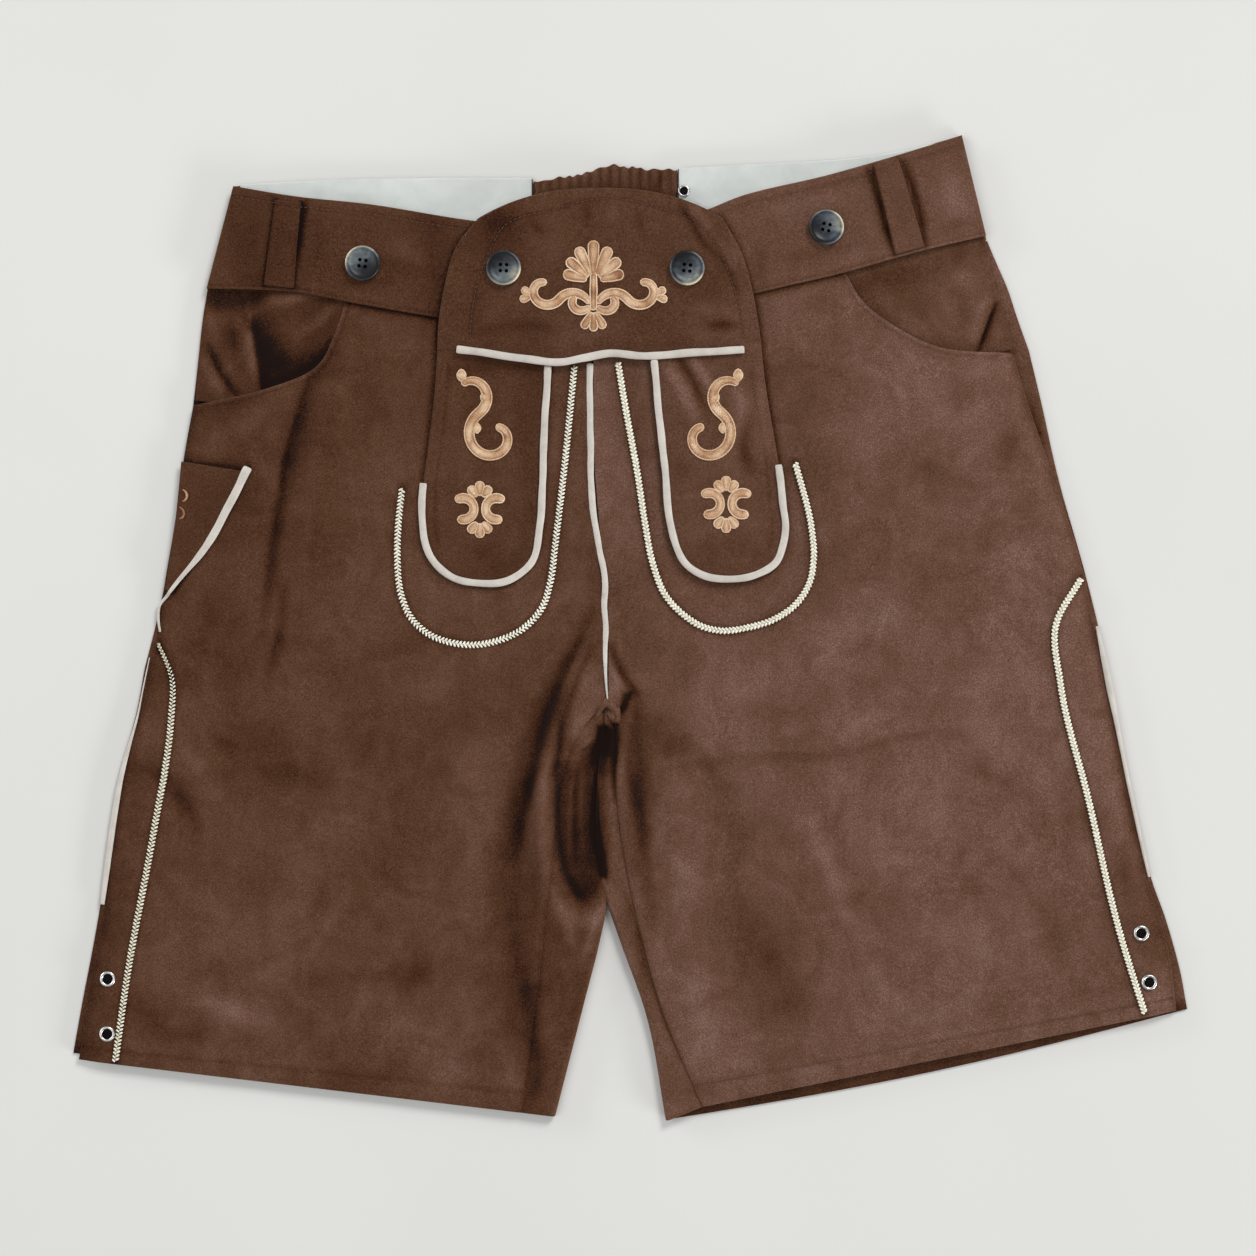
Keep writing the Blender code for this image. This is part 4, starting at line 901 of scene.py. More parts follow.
# painted shade: the hollow of turned cloth darkened, the slit and the hole below the knot painted near black
HOLLOWS = [
    (-1.8, -.22, 1.8, [(550, 762), (554, 794), (554, 828), (555, 850), (559, 868), (566, 884), (573, 897), (581, 905), (588, 906),
                       (595, 900), (600, 888), (604, 874), (603, 862), (600, 848), (600, 828), (601, 794), (600, 760), (595, 744), (583, 752),
                       (573, 762), (561, 760)]),
    (-.4, -.10, 3.5, [(558, 842), (566, 880), (579, 899), (590, 898), (598, 888), (603, 868), (598, 842), (580, 830)]),
    (-1.5, -.80, .9, [(595, 772), (591, 816), (592, 842), (598, 862), (603, 878), (606, 880), (606, 862),
                      (603, 842), (599, 816), (598, 790)]),
    (-2.2, -.75, 1.3, [(597.5, 727), (595.5, 742), (596, 757), (603, 760), (609, 756), (612, 745), (611.5, 734), (608, 726.5), (602, 725)]),
    (-.3, -.38, 2.6, [(597, 726), (593, 744), (596, 770), (604, 777), (613, 772), (618, 754), (616, 732), (608, 724)]),
    (0, -.34, 2.0, [(597, 762), (605, 760), (607, 772), (606, 800), (608, 840), (607, 872), (604, 860), (600, 826), (598, 796)]),
    (0, -.14, 2.0, [(593, 770), (596, 740), (590, 748), (586, 790), (589, 840), (594, 866), (600, 880), (600, 860), (594, 820)]),
    (-1.2, -.46, .9, [(622, 693), (631, 692), (630, 701), (624, 712), (619, 716), (620, 702)]),
]
# the cloth is lighter or darker where the pile was stroked, and painted darker or lighter where shade or light falls
# along edges, hems and creases
NAP_AND_SHADE_R = [
    (0, -.11, 14, 14, .6, .6, [(215, 398), (250, 400), (285, 392)]),
    (0, -.22, 5, 5, .6, .6, [(194, 383), (212, 392)]),
    (0, -.10, 5, 5, .4, .3, [(277, 505), (274, 545), (269, 590)]),
    (0, -.09, 75, 75, .7, .5, [(190, 340), (205, 430), (225, 520), (245, 610)]),
    (0, -.08, 40, 40, .7, .5, [(360, 330), (370, 420), (350, 520), (340, 610)]),
    (0, -.10, 16, 16, .7, .5, [(205, 352), (212, 384)]),
    (0, -.10, 10, 10, .6, .6, [(528, 840), (528, 960), (524, 1085)]),
    (0, -.13, 9, 9, .6, .6, [(92, 972), (84, 1050)]),
    (0, -.13, 16, 16, .8, .8, [(318, 538), (324, 562)]),
    (0, .06, 30, 30, .4, .4, [(395, 420), (380, 540), (350, 640)]),
    (0, -.07, 20, 20, .5, .5, [(215, 600), (235, 650), (250, 690)]),
    (0, -.10, 9, 9, .5, .5, [(215, 600), (205, 640), (190, 670)]),
    (0, .07, 9, 9, .5, .5, [(240, 580), (236, 540)]),
    (0, .08, 18, 18, .5, .5, [(350, 640), (378, 650), (395, 640)]),
    (0, -.05, 16, 16, .5, .5, [(350, 690), (385, 665)]),
    (0, .05, 24, 24, .5, .5, [(230, 850), (300, 840), (340, 870)]),
    (0, .13, 16, 16, .4, .4, [(474, 740), (480, 820), (470, 900)]),
    (0, -.06, 10, 10, .5, .5, [(201, 860), (205, 888)]),
    (0, -.20, 7, 8, .8, .8, [(410, 980), (424, 972)]),
    (0, -.08, 6, 6, .8, .8, [(314, 975), (322, 982)]),
    (0, -.10, 9, 9, .7, .7, [(206, 962), (232, 974)]),
    (0, .22, 7, 8, .6, .6, [(203, 1000), (230, 1010), (262, 1019)]),
    (0, -.18, 7, 7, .6, .6, [(142, 1010), (156, 1026), (170, 1038)]),
    (0, -.15, 5, 5, .7, .7, [(187, 1029), (200, 1037)]),
    (0, -.08, 16, 16, .6, .6, [(140, 985), (150, 1050)]),
    (0, .10, 14, 14, .6, .6, [(395, 1020), (416, 1036)]),
    (0, .15, 14, 14, .6, .6, [(430, 1062), (466, 1078)]),
    (0, .18, 7, 7, .6, .6, [(506, 1050), (516, 1085)]),
    (0, .07, 5, 5, .4, .4, [(372, 960), (360, 1010), (352, 1060)]),
    (0, .06, 4, 4, .4, .4, [(330, 1000), (322, 1050)]),
    (0, -.10, 16, 16, .6, .6, [(470, 960), (500, 990), (490, 1040)]),
    (0, -.07, 18, 18, .5, .5, [(360, 860), (420, 830)]),
    (0, -.14, 9, 9, .7, .7, [(146, 656), (144, 700)]),
    (0, .08, 9, 9, .6, .6, [(142, 720), (136, 748)]),
    (0, .10, 9, 9, .5, .5, [(128, 800), (112, 880)]),
    (0, -.10, 8, 8, .6, .6, [(106, 900), (100, 935)]),
    (0, .07, 8, 8, .6, .6, [(100, 1000), (96, 1040)]),
    (0, .07, 16, 16, .5, .5, [(230, 410), (250, 440)]),
    (0, -.08, 10, 10, .5, .5, [(196, 395), (194, 450)]),
    (0, .06, 20, 20, .5, .5, [(420, 690), (460, 700)]),
    (0, .07, 12, 12, .5, .5, [(560, 420), (570, 500), (575, 580)]),
    (0, -.16, 12, 12, .7, .8, [(132, 760), (116, 880), (98, 1000), (88, 1060)]),
    (0, -.10, 12, 12, .7, .7, [(190, 1030), (170, 1060)]),
]
NAP_AND_SHADE_L = [
    (0, -.12, 20, 12, .5, .5, [(625, 560), (632, 620), (640, 684)]),
    (0, -.12, 9, 9, .5, .5, [(659, 755), (660, 800)]),
    (0, -.12, 8, 8, .5, .5, [(663, 855), (664, 918)]),
    (0, -.20, 4, 5, .4, .4, [(628, 900), (638, 950), (650, 1005)]),
    (0, -.15, 10, 10, .5, .4, [(634, 700), (638, 750), (642, 810)]),
    (0, -.12, 16, 16, .5, .4, [(662, 730), (690, 770)]),
    (0, -.12, 12, 12, .6, .6, [(806, 290), (830, 322)]),
    (0, -.11, 12, 9, .6, .6, [(1116, 700), (1138, 830), (1158, 950)]),
    (0, -.12, 8, 8, .6, .6, [(640, 392), (640, 460)]),
    (0, -.12, 9, 9, .6, .6, [(670, 1080), (720, 1090)]),
    (0, -.16, 26, 26, .6, .6, [(700, 945), (760, 955), (830, 950)]),
    (0, .10, 12, 12, .6, .6, [(890, 850), (910, 870)]),
    (0, -.13, 14, 14, .6, .6, [(920, 478), (955, 482)]),
    (0, -.08, 13, 13, .6, .6, [(826, 560), (868, 562)]),
    (0, .07, 16, 16, .6, .6, [(850, 425), (880, 460)]),
    (0, -.14, 6, 6, .6, .6, [(1012, 430), (1004, 466)]),
    (0, .10, 12, 12, .5, .5, [(1040, 430), (1050, 470)]),
    (0, -.10, 8, 8, .6, .6, [(815, 460), (818, 500)]),
    (0, -.05, 15, 15, .6, .6, [(890, 610), (930, 590)]),
    (0, .07, 14, 14, .5, .5, [(1000, 540), (1040, 600)]),
    (0, .06, 16, 16, .5, .5, [(700, 660), (740, 690)]),
    (0, -.08, 12, 12, .6, .6, [(650, 640), (680, 700)]),
    (0, -.06, 12, 12, .5, .5, [(820, 690), (880, 680)]),
    (0, -.13, 10, 10, .6, .6, [(770, 925), (778, 980), (788, 1032)]),
    (0, -.08, 8, 8, .6, .6, [(748, 905), (752, 950)]),
    (0, .06, 10, 10, .5, .5, [(748, 1000), (750, 1050)]),
    (0, .10, 9, 9, .5, .5, [(934, 930), (950, 952)]),
    (0, .10, 12, 12, .5, .5, [(930, 800), (940, 850)]),
    (0, .06, 7, 7, .5, .5, [(868, 840), (884, 862)]),
    (0, -.10, 6, 7, .5, .5, [(962, 868), (985, 905), (1004, 932)]),
    (0, -.14, 7, 8, .6, .6, [(1050, 920), (1060, 958)]),
    (0, -.10, 11, 11, .6, .6, [(1000, 985), (1004, 1018)]),
    (0, .07, 9, 9, .5, .5, [(1030, 850), (1040, 900)]),
    (0, .06, 7, 7, .5, .5, [(1000, 820), (1010, 860)]),
    (0, -.06, 9, 9, .5, .5, [(840, 960), (850, 1010)]),
    (0, .10, 7, 7, .5, .5, [(1086, 760), (1092, 800)]),
    (0, -.10, 6, 6, .5, .5, [(1094, 612), (1100, 650)]),
    (0, -.12, 3, 3, .5, .5, [(1088, 712), (1106, 716)]),
    (0, .14, 5, 6, .5, .5, [(1112, 780), (1122, 830)]),
    (0, -.16, 7, 7, .6, .6, [(1120, 850), (1132, 905)]),
    (0, -.13, 8, 8, .6, .6, [(1150, 920), (1164, 975)]),
    (0, .08, 3, 3, .5, .5, [(720, 1085), (860, 1056), (1000, 1030), (1080, 1012)]),
]


def soft_relief(x, y, seed):
    return (0.55 * cloud(x, y, 62, seed) + 0.36 * cloud(x, y, 27, seed + 1) + 0.14 * cloud(x, y, 12, seed + 2)
            + 0.05 * cloud(x, y, 6, seed + 3))


LEG_PAIRS = (("front_out_x", "front_out_y"), ("front_in_x", "front_in_y"),
             ("back_out_x", "back_out_y"), ("fold_x", "fold_y"))


class Leg:
    def __init__(self, rows, hem_bow, creases, nap, tone, seed, close, seam_gap, tuck, shades):
        # the turned cloth of both legs touches from the crotch to where the legs part
        rows = [list(r) for r in rows]
        for k, shift in zip(range(CROTCH_ROW, CROTCH_ROW + 7), close):
            rows[k][LEG_COLUMNS.index("fold_x")] += shift
        self.seam_gap, self.tuck, self.shades = seam_gap, tuck, shades
        self.s = Sections(LEG_COLUMNS, rows, LEG_PAIRS)
        self.hem_bow, self.creases, self.nap, self.tone, self.seed = hem_bow, creases, nap, tone, seed
        ends = self.s.at
        fine = np.linspace(0, ends[-1], 260)
        self.out_line = self.point("front_out", fine)
        self.in_line = self.point("front_in", fine)
        self.seam_line = self.point("front_in", np.linspace(ends[CROTCH_ROW], ends[-1], 160))
        self.side_line = self.point("front_out", np.linspace(ends[4], ends[-1], 160))
        self.scoop_line = self.point("front_out", np.linspace(0, ends[4] - 2.0, 60))

    def point(self, which, s):
        return np.stack([self.s.value(which + "_x", s), self.s.value(which + "_y", s)], -1)

    def front_z(self, s, p):
        """Middle of the front wall: the construction's height with fine relief, and its tone, with pile marks and
        painted shade and light.
        """
        s = np.broadcast_to(s, p.shape[:-1])
        x, y = p[..., 0], p[..., 1]
        mid, out = self.s.value("mid_z", s), self.s.value("out_z", s)
        d = np.linalg.norm(p - self.point("front_out", s), axis=-1)
        edge = np.exp(-(d / ROLL) ** 2)
        waist = 1 - np.exp(-(s / 25.0) ** 2)
        h, tone = marks(self.creases + CROTCH, x, y)
        h2, tone2 = areas(HOLLOWS, x, y)
        h, tone = h + h2, tone + tone2
        _, shade = marks(self.nap, x, y)
        free = (1 - edge) * waist
        z = mid + (out - mid) * edge + (fold_height(FOLDS, x, y) + h + soft_relief(x, y, self.seed)) * free
        tone = self.tone + tone * (0.5 + 0.5 * free) + shade
        # hem: a doubled edge, a stitched line painted darker as shade, small puckers
        e = self.s.at[-1] - s
        run = x * 0.95 + y * 0.3
        z += 0.30 / (1 + np.exp((e - 9.5) / 0.8)) - 0.38 * np.exp(-((e - 10.4) / 1.0) ** 2)
        z += 0.20 * np.exp(-((e - 14) / 6.0) ** 2) * np.sin(run / 3.3 + 2.2 * np.sin(run / 17.0))
        tone = tone - 0.10 * np.exp(-((e - 10.4) / 1.4) ** 2) + 0.05 * np.exp(-((e - 3.5) / 3.5) ** 2) * cloud(run, e, 9, 7)
        # side seam, inseam: drawn in, puckered, each painted darker along its line as shade
        side = near(self.side_line, x, y)
        run = side[1] * 390
        far = side[0]
        low = np.exp(-(far / 3.0) ** 2)
        z += 0.22 * np.exp(-((far - 7) / 5.0) ** 2) * np.sin(run / 3.9 + 2.0 * np.sin(run / 14.0)) * (side[1] > 0.005)
        tone = tone - 0.14 * low
        seam = near(self.seam_line, x, y)
        run = seam[1] * 260
        z += -0.4 * np.exp(-(seam[0] / 2.0) ** 2) + 0.26 * np.exp(-((seam[0] - 5) / 4.0) ** 2) * np.sin(run / 3.5 + 2.1 * np.sin(run / 13.0))
        tone = tone - 0.10 * np.exp(-(seam[0] / 1.8) ** 2)
        # painted contact shadows beside the pieces and trims that lie on the front
        tone = tone + shade_beside(self.shades, x, y, 2.3, 0.50)
        # each eyelet sits in a dip painted dark: painted shade seen through the eyelet
        for ex, ey in EYELETS.values():
            dent = np.exp(-(np.hypot(x - ex, y - ey) / 3.1) ** 4)
            z, tone = z - 1.1 * dent, tone - 0.9 * dent
        return np.maximum(z, SEAM_Z), tone

    def stations(self, coarse, fine):
        """Sections along the leg, closer together round the crotch."""
        a, b = self.s.at[CROTCH_ROW] - 42.0, self.s.at[CROTCH_ROW + 4] - 6.0
        at = self.s.stations(coarse)
        mid = np.linspace(a, b, int((b - a) / fine) + 1)
        return np.concatenate([at[at < a - fine * 0.5], mid, at[at > b + fine * 0.5]])

    def front(self, step_s, columns):
        at = self.stations(step_s, 1.15)
        u = np.linspace(0, 1, columns + 1)
        u = u - 0.07 * np.sin(2 * math.pi * u)
        s = at[:, None]
        a, b = self.point("front_out", at)[:, None, :], self.point("front_in", at)[:, None, :]
        p = a + (b - a) * u[None, :, None]
        z, tone = self.front_z(s, p)
        # pocket scoop: turned edge with a stitched line inside it; painted light along the turned edge, painted shade
        # in the stitched line
        x, y = p[..., 0], p[..., 1]
        scoop = near(self.scoop_line, x, y)
        inside = scoop[0]
        run = scoop[1] * 110
        z += -0.30 * np.exp(-((inside - 3.0) / 0.9) ** 2) + 0.16 * np.exp(-((inside - 1.3) / 1.1) ** 2)
        z += 0.16 * np.exp(-((inside - 5.5) / 3.0) ** 2) * np.sin(run / 2.8 + 1.8 * np.sin(run / 9.0))
        tone = tone + 0.10 * np.exp(-(inside / 2.2) ** 2) - 0.10 * np.exp(-((inside - 3.0) / 1.2) ** 2)
        z = np.maximum(z, SEAM_Z)
        return np.concatenate([p, z[..., None]], -1), tone

    def back(self, step_s, flat, curl, tail):
        at = self.stations(step_s, 1.15)
        out, fold, seam = self.point("back_out", at), self.point("fold", at), self.point("front_in", at)
        turn = np.clip(self.s.value("turn", at), 0, 1)
        run = unit(fold - out)
        fold = fold - run * (CLOTH / 2)
        end_low = fold - run * 3.2
        line = unit(self.point("front_in", at + 1.5) - self.point("front_in", at - 1.5))
        side = np.stack([-line[:, 1], line[:, 0]], -1)
        side *= np.where((side * (fold - seam)).sum(-1) < 0, -1, 1)[:, None]
        pit = np.exp(-((at - self.s.at[CROTCH_ROW + 1] + 4.0) / 14.0) ** 2)
        end_high = seam + side * (self.seam_gap * np.ones(len(at)))[:, None]
        end = end_low + (end_high - end_low) * np.minimum(1, 2 * turn)[:, None]
        back = end - fold
        length = np.linalg.norm(back, axis=-1)
        reach = np.minimum(2.2, length * 0.45)[:, None]
        back = unit(back)
        start = fold + back * reach
        rise = turn * turn
        top_start, _ = self.front_z(at, start)
        top = ALLOWANCE_Z + (top_start - ALLOWANCE_Z) * rise
        cols = []
        tones = []
        for c in range(flat + 1):
            u = c / flat
            u -= 0.02 * math.sin(2 * math.pi * u)
            p = out + (fold - run * reach - out) * u
            p[:, 1] -= self.hem_bow * math.sin(math.pi * u) * np.exp(-((self.s.at[-1] - at) / 20.0) ** 2)
            cols.append(np.concatenate([p, np.full((len(at), 1), BACK_Z)], -1))
            # back tones: pile marks, a little darker overall, painted contact shadow beside the front's outer edge, and
            # painted shadow along the hem below the front's hem
            _, h = marks(self.nap, p[:, 0] * 0.97, p[:, 1] + 6)
            tones.append(self.tone - 0.05 + 0.8 * h + shade_beside([self.out_line], p[:, 0], p[:, 1], 1.8, 0.45)
                         - (0.36 if self.hem_bow else 0.22) * np.exp(-((self.s.at[-1] - at) / 9.0) ** 2))
        for c in range(1, curl + 1):
            a = -math.pi / 2 + math.pi * c / curl
            p = fold - run * reach * (1 - math.cos(a)) if a < 0 else fold + back * reach * (1 - math.cos(a))
            z = (BACK_Z + top) / 2 + (top - BACK_Z) / 2 * math.sin(a)
            cols.append(np.concatenate([p, z[:, None]], -1))
            _, tone = self.front_z(at, p)
            upper = np.clip(math.sin(a) + 0.4, 0, 1)
            # the curl's underside is painted darker, much darker round the crotch: painted shade in the slit between
            # the legs
            crotch_painted_shade = ((at > self.s.at[CROTCH_ROW] - 20) & (at < self.s.at[CROTCH_ROW + 4])).astype(float)
            tones.append((self.tone - 0.06 - 0.5 * blur_line(crotch_painted_shade, 6)) * (1 - upper) + tone * upper)
        for c in range(1, tail + 1):
            p = start + (end - start) * c / tail
            z, tone = self.front_z(at, p)
            z = ALLOWANCE_Z + (z - ALLOWANCE_Z) * rise
            z = z - self.tuck * np.clip(3 * c / tail - 2, 0, 1)
            cols.append(np.concatenate([p, z[:, None]], -1))
            # the tucked tail a little darker
            tones.append(tone - 0.04)
        return np.stack(cols, 1), np.stack(tones, 1)


def outline(rows, sides="ab", start=0.0, foot=True, fullness=2.0):
    """Edge of a flat piece in plan, for the thin contact shadow painted on what is below."""
    t = Sections(PIECE_COLUMNS, rows, (("a_x", "a_y"), ("b_x", "b_y")))
    s = np.linspace(start, t.at[-1], 40)
    out = [np.stack([t.value(k + "_x", s), t.value(k + "_y", s)], -1) for k in sides]
    if foot:
        a, b = np.array([t.v["a_x"][-1], t.v["a_y"][-1]]), np.array([t.v["b_x"][-1], t.v["b_y"][-1]])
        u = np.linspace(0, 1, 30)[:, None]
        line = a + (b - a) * u
        line[:, 1] += (t.v["bow"][-1] * (1 - np.abs(2 * u - 1) ** fullness))[:, 0]
        out.append(line)
    return out


# outlines of what lies on each front, for the painted contact shadows on it
UNDER_R = (outline(BIB_R_ROWS, "ab", 0, True, BIB_FOOT) + outline(BAND_R_ROWS, "b", 0, False) + outline(YOKE_ROWS, "a", 0, False)
           + [smooth(q, 2.0) for q in (BRAID_BIB_R, BRAID_SIDE_R, KNIFE_EDGE)] + outline(KNIFE_ROWS, "b", 0, False)
           + [np.array([KNIFE_ROWS[0][0:2], KNIFE_ROWS[0][2:4]])])
UNDER_L = (outline(BIB_L_ROWS, "ab", 0, True, BIB_FOOT) + outline(BAND_L_ROWS, "b", 0, False) + outline(YOKE_ROWS, "b", 0, False)
           + [smooth(q, 2.0) for q in (BRAID_BIB_L, BRAID_SIDE_L)])
# base tones partly the pile's stroke, partly painted light: the _l leg painted brighter, as if lit from its side
LEGS = {"r": Leg(LEG_R, 0.0, RIGHT_LEG, NAP_AND_SHADE_R, 0.50, 3, (.9, 2.7, 1.4, 1.45, 1.1, .3, 0), -2.6, 0.16, UNDER_R),
        "l": Leg(LEG_L, BACK_HEM_BOW, LEFT_LEG, NAP_AND_SHADE_L, 0.69, 41, (-.5, -2.1, -.8, -.85, -1.8, -2.6, 0), -0.2, 0.22, UNDER_L)}
for k, leg in LEGS.items():
    mid, tone = leg.front(2.6, 144)
    shell("front_panel_" + k, mid, CLOTH, MAT["suede"], tone)
    mid, tone = leg.back(4.4, 36, 12, 26)
    shell("back_panel_" + k, mid, CLOTH, MAT["suede"], tone)
FRONTS = ["front_panel_r", "front_panel_l"]


# ---- flat pieces -----------------------------------------------------------------------------
def flat_grid(rows, step_s, columns, fullness=2.0):
    table = Sections(PIECE_COLUMNS, rows, (("a_x", "a_y"), ("b_x", "b_y")))
    s = table.stations(step_s)
    u = np.linspace(0, 1, columns + 1)[None, :, None]
    a = np.stack([table.value("a_x", s), table.value("a_y", s)], -1)[:, None, :]
    b = np.stack([table.value("b_x", s), table.value("b_y", s)], -1)[:, None, :]
    p = a + (b - a) * u
    run = unit(b - a)
    out = np.stack([-run[..., 1], run[..., 0]], -1) * np.where(run[..., 0:1] > 0, 1, -1)
    p = p + out * table.value("bow", s)[:, None, None] * (1 - np.abs(2 * u - 1) ** fullness)
    z = table.value("z_a", s)[:, None] * (1 - u[..., 0]) + table.value("z_b", s)[:, None] * u[..., 0]
    rim = np.minimum(np.minimum(u[..., 0], 1 - u[..., 0]) * np.linalg.norm(b - a, axis=-1),
                     np.minimum(s, table.at[-1] - s)[:, None])
    return p, z, rim, s, table


def up_wards(mid, tone):
    """Columns run so that the wall's first face looks up."""
    n = np.cross(np.gradient(mid, axis=1), np.gradient(mid, axis=0))
    return (mid[:, ::-1], tone[:, ::-1]) if n[..., 2].sum() < 0 else (mid, tone)


def cloth_piece(name, rows, wall, mat, step, columns, tone, creases=(), relief=0.0, seed=11,
                fullness=2.0, over=None, reach=6.0, low=CLOTH, stitch=0.0, grooves=(), fold=None, tree=True, sink=0.0, shades=(), warp=None, corners=()):
    p, z, rim, s, table = flat_grid(rows, step, columns, fullness)
    if warp is not None:
        p = warp(p, s)
    x, y = p[..., 0], p[..., 1]
    if over is not None:
        z = top_at(over, x, y, reach, low)
        z = blur(z, 6) + GAP + 0.15 + wall / 2
    edge = np.clip(rim / 6.0, 0, 1)
    t = np.full(x.shape, tone)
    h, shade = marks(list(creases), x, y)
    z = z + h * np.clip(rim / 4.0, 0.0, 1) + relief * soft_relief(x, y, seed) * edge
    if fold is not None:
        z = z + np.maximum(0, fold_height(fold, x, y)) * np.clip(rim / 12.0, 0, 1)
    t = t + shade
    # painted shade along the stitched line
    if stitch:
        z = z - 0.25 * np.exp(-((rim - stitch) / 0.8) ** 2) + 0.12 * np.exp(-((rim - stitch * 0.45) / (stitch * 0.4)) ** 2)
        t = t - 0.12 * np.exp(-((rim - stitch) / 1.2) ** 2)
    # each groove is also painted darker along it: painted shade in the groove
    for line, width, depth, lip, far, dark in grooves:
        z = z + groove(line, x, y, width, depth, lip, far)
        t = t - dark * np.exp(-(near(line, x, y)[0] / (width * 1.2)) ** 2)
    # painted contact shadows beside what lies on the piece
    if len(shades):
        t = t + shade_beside(shades, x, y, 1.8, 0.34)
    z = np.maximum(z + sink + marks(list(corners), x, y)[0], wall / 2)
    mid = np.concatenate([p, z[..., None]], -1)
    mid, t = up_wards(mid, t)
    return shell(name, mid, wall, mat, t, tree)


# base tones partly the pile's stroke, partly painted light: the _l band painted brighter
cloth_piece("back_waistband_r", BACK_BAND_R_ROWS, BAND, MAT["band"], 3.0, 22, 0.36, tree=False)
cloth_piece("back_waistband_l", BACK_BAND_L_ROWS, BAND, MAT["band"], 3.0, 22, 0.50, tree=False)
# tones: painted light on ridges, painted shade in troughs
GUSSET_MARKS = [
    (.4, .08, 4, 4, .3, .3, [(551, 184), (600, 170), (640, 168)]),
    (-.3, -.2, 3, 3, .5, .5, [(664, 172), (660, 180), (655, 192)]),
    (-.2, -.12, 6, 6, .5, .5, [(560, 200), (600, 192), (650, 190)]),
    (.3, .08, 4, 5, .5, .5, [(672, 172), (668, 192)]),
]


def gathered(p, s):
    """The gusset's upper edge is drawn into small uneven gathers."""
    far = np.linalg.norm(p - p[:, :1], axis=-1)
    x = p[:, :1, 0]
    wave = 1.0 * np.sin(x / 1.05 + 1.8 * np.sin(x / 5.3)) + 0.9 * np.sin(x / 3.4 + 2.0 * np.sin(x / 9.0))
    out = p.copy()
    out[..., 1] += 0.55 * wave * np.exp(-(far / 4.0) ** 2)
    return out


gx = np.linspace(-57, 27, 29)
# each gather's ridge painted lighter, its trough painted darker
GATHERS = [(.9 * (-1) ** k, .12 * (-1) ** k, 1.3, 1.5, .9, .1, [((x / .6) + 630.25, 166), ((x / .6) + 630.25 + 3 * math.sin(k * 2.1), 198)])
           for k, x in enumerate(gx)]
cloth_piece("seat_gusset", GUSSET_ROWS, BAND, MAT["band"], 0.9, 44, 0.44, GUSSET_MARKS + GATHERS, 0.0, 5, warp=gathered)
FACING_MARKS = [
    (.25, 0, 4, 4, .4, .4, [(310, 185), (360, 192), (430, 196)]),
    (-.2, 0, 3, 3, .4, .4, [(400, 188), (412, 205)]),
    (.2, 0, 3, 3, .4, .4, [(440, 190), (452, 210)]),
    (.25, 0, 5, 5, .4, .4, [(700, 190), (780, 185), (860, 172)]),
    (-.2, 0, 3, 3, .4, .4, [(720, 188), (735, 215)]),
]
def to_edge(p, s):
    """The facing comes right up to the waist's top edge."""
    return p + np.array([0.0, 1.2])


cloth_piece("white_facing_r", FACING_R_ROWS, FACING, MAT["facing"], 1.8, 20, 0.5, FACING_MARKS, 0.25, 6, warp=to_edge)
cloth_piece("white_facing_l", FACING_L_ROWS, FACING, MAT["facing"], 1.8, 26, 0.5, FACING_MARKS, 0.25, 8, warp=to_edge)

def tucked(rows, rise, out):
    """The same rows with the first section pushed up under the waistband."""
    first = list(rows[0])
    first[0] += out
    first[1] += rise
    first[3] += rise
    return [tuple(first)] + list(rows[1:])


# tones: painted light on the bulges, painted shade in the creases and under the waistband's edge
POCKET_MARKS_R = [
    (1.5, .26, 5, 3.5, .5, .6, [(246, 319), (256, 311), (266, 305), (292, 298), (312, 292)]),
    (1.1, .20, 4, 4, .4, .4, [(338, 304), (318, 322), (297, 335)]),
    (-.6, -.30, 3, 3, .6, .6, [(244, 318), (250, 327), (254, 330)]),
    (-.8, -.48, 12, 1.5, .6, .9, [(253, 322), (255, 336), (258, 356), (263, 392)]),
    (-.3, -.30, 8, 8, .6, .6, [(272, 352), (290, 366), (310, 362)]),
    (-.2, -.36, 4, 4, .6, .6, [(266, 388), (290, 378), (312, 368), (332, 342)]),
    (1.3, .30, 1.8, 3.4, .6, .4, [(247, 325), (250, 345), (254, 377)]),
    (-.6, -.24, 3, 4, .5, .5, [(231, 326), (236, 351)]),
    (-.8, -.36, 3.6, 1.6, .4, .7, [(208, 346), (218, 370), (236, 396)]),
    (.8, .20, 3, 4, .4, .4, [(200, 352), (212, 378), (224, 398)]),
    (.5, .14, 3.4, 3.4, .5, .5, [(224, 358), (235, 382)]),
    (-.3, -.34, 7, 7, 1, 1, [(215, 300), (255, 298)]),
    (.6, .16, 4, 4, .5, .5, [(207, 306), (214, 345)]),
]
# tones: painted light on the bulges and on a lit patch, painted shade in the creases and under the waistband
POCKET_MARKS_L = [
    (0, .16, 14, 12, .6, .6, [(952, 305), (978, 275)]),
    (-.3, -.16, 8, 8, 1, .6, [(850, 290), (880, 280), (930, 268)]),
    (.5, .12, 7, 7, .3, .3, [(925, 300), (950, 285), (978, 262)]),
    (-.5, -.16, 5, 5, .4, .4, [(946, 286), (962, 300), (968, 322)]),
    (.4, .10, 7, 7, .3, .3, [(880, 308), (915, 330), (952, 345)]),
    (-.3, -.12, 6, 6, .6, .6, [(870, 305), (895, 322)]),
    (-.3, -.22, 3, 3, .6, .6, [(850, 312), (880, 338), (912, 358), (950, 368)]),
    (-1.4, -.60, 2.4, 1.3, .6, .8, [(996, 303), (988, 325), (978, 352)]),
    (.9, .16, 3, 3.6, .5, .3, [(986, 298), (978, 322), (968, 348)]),
    (.6, .12, 4, 4, .5, .5, [(1000, 318), (996, 345)]),
]
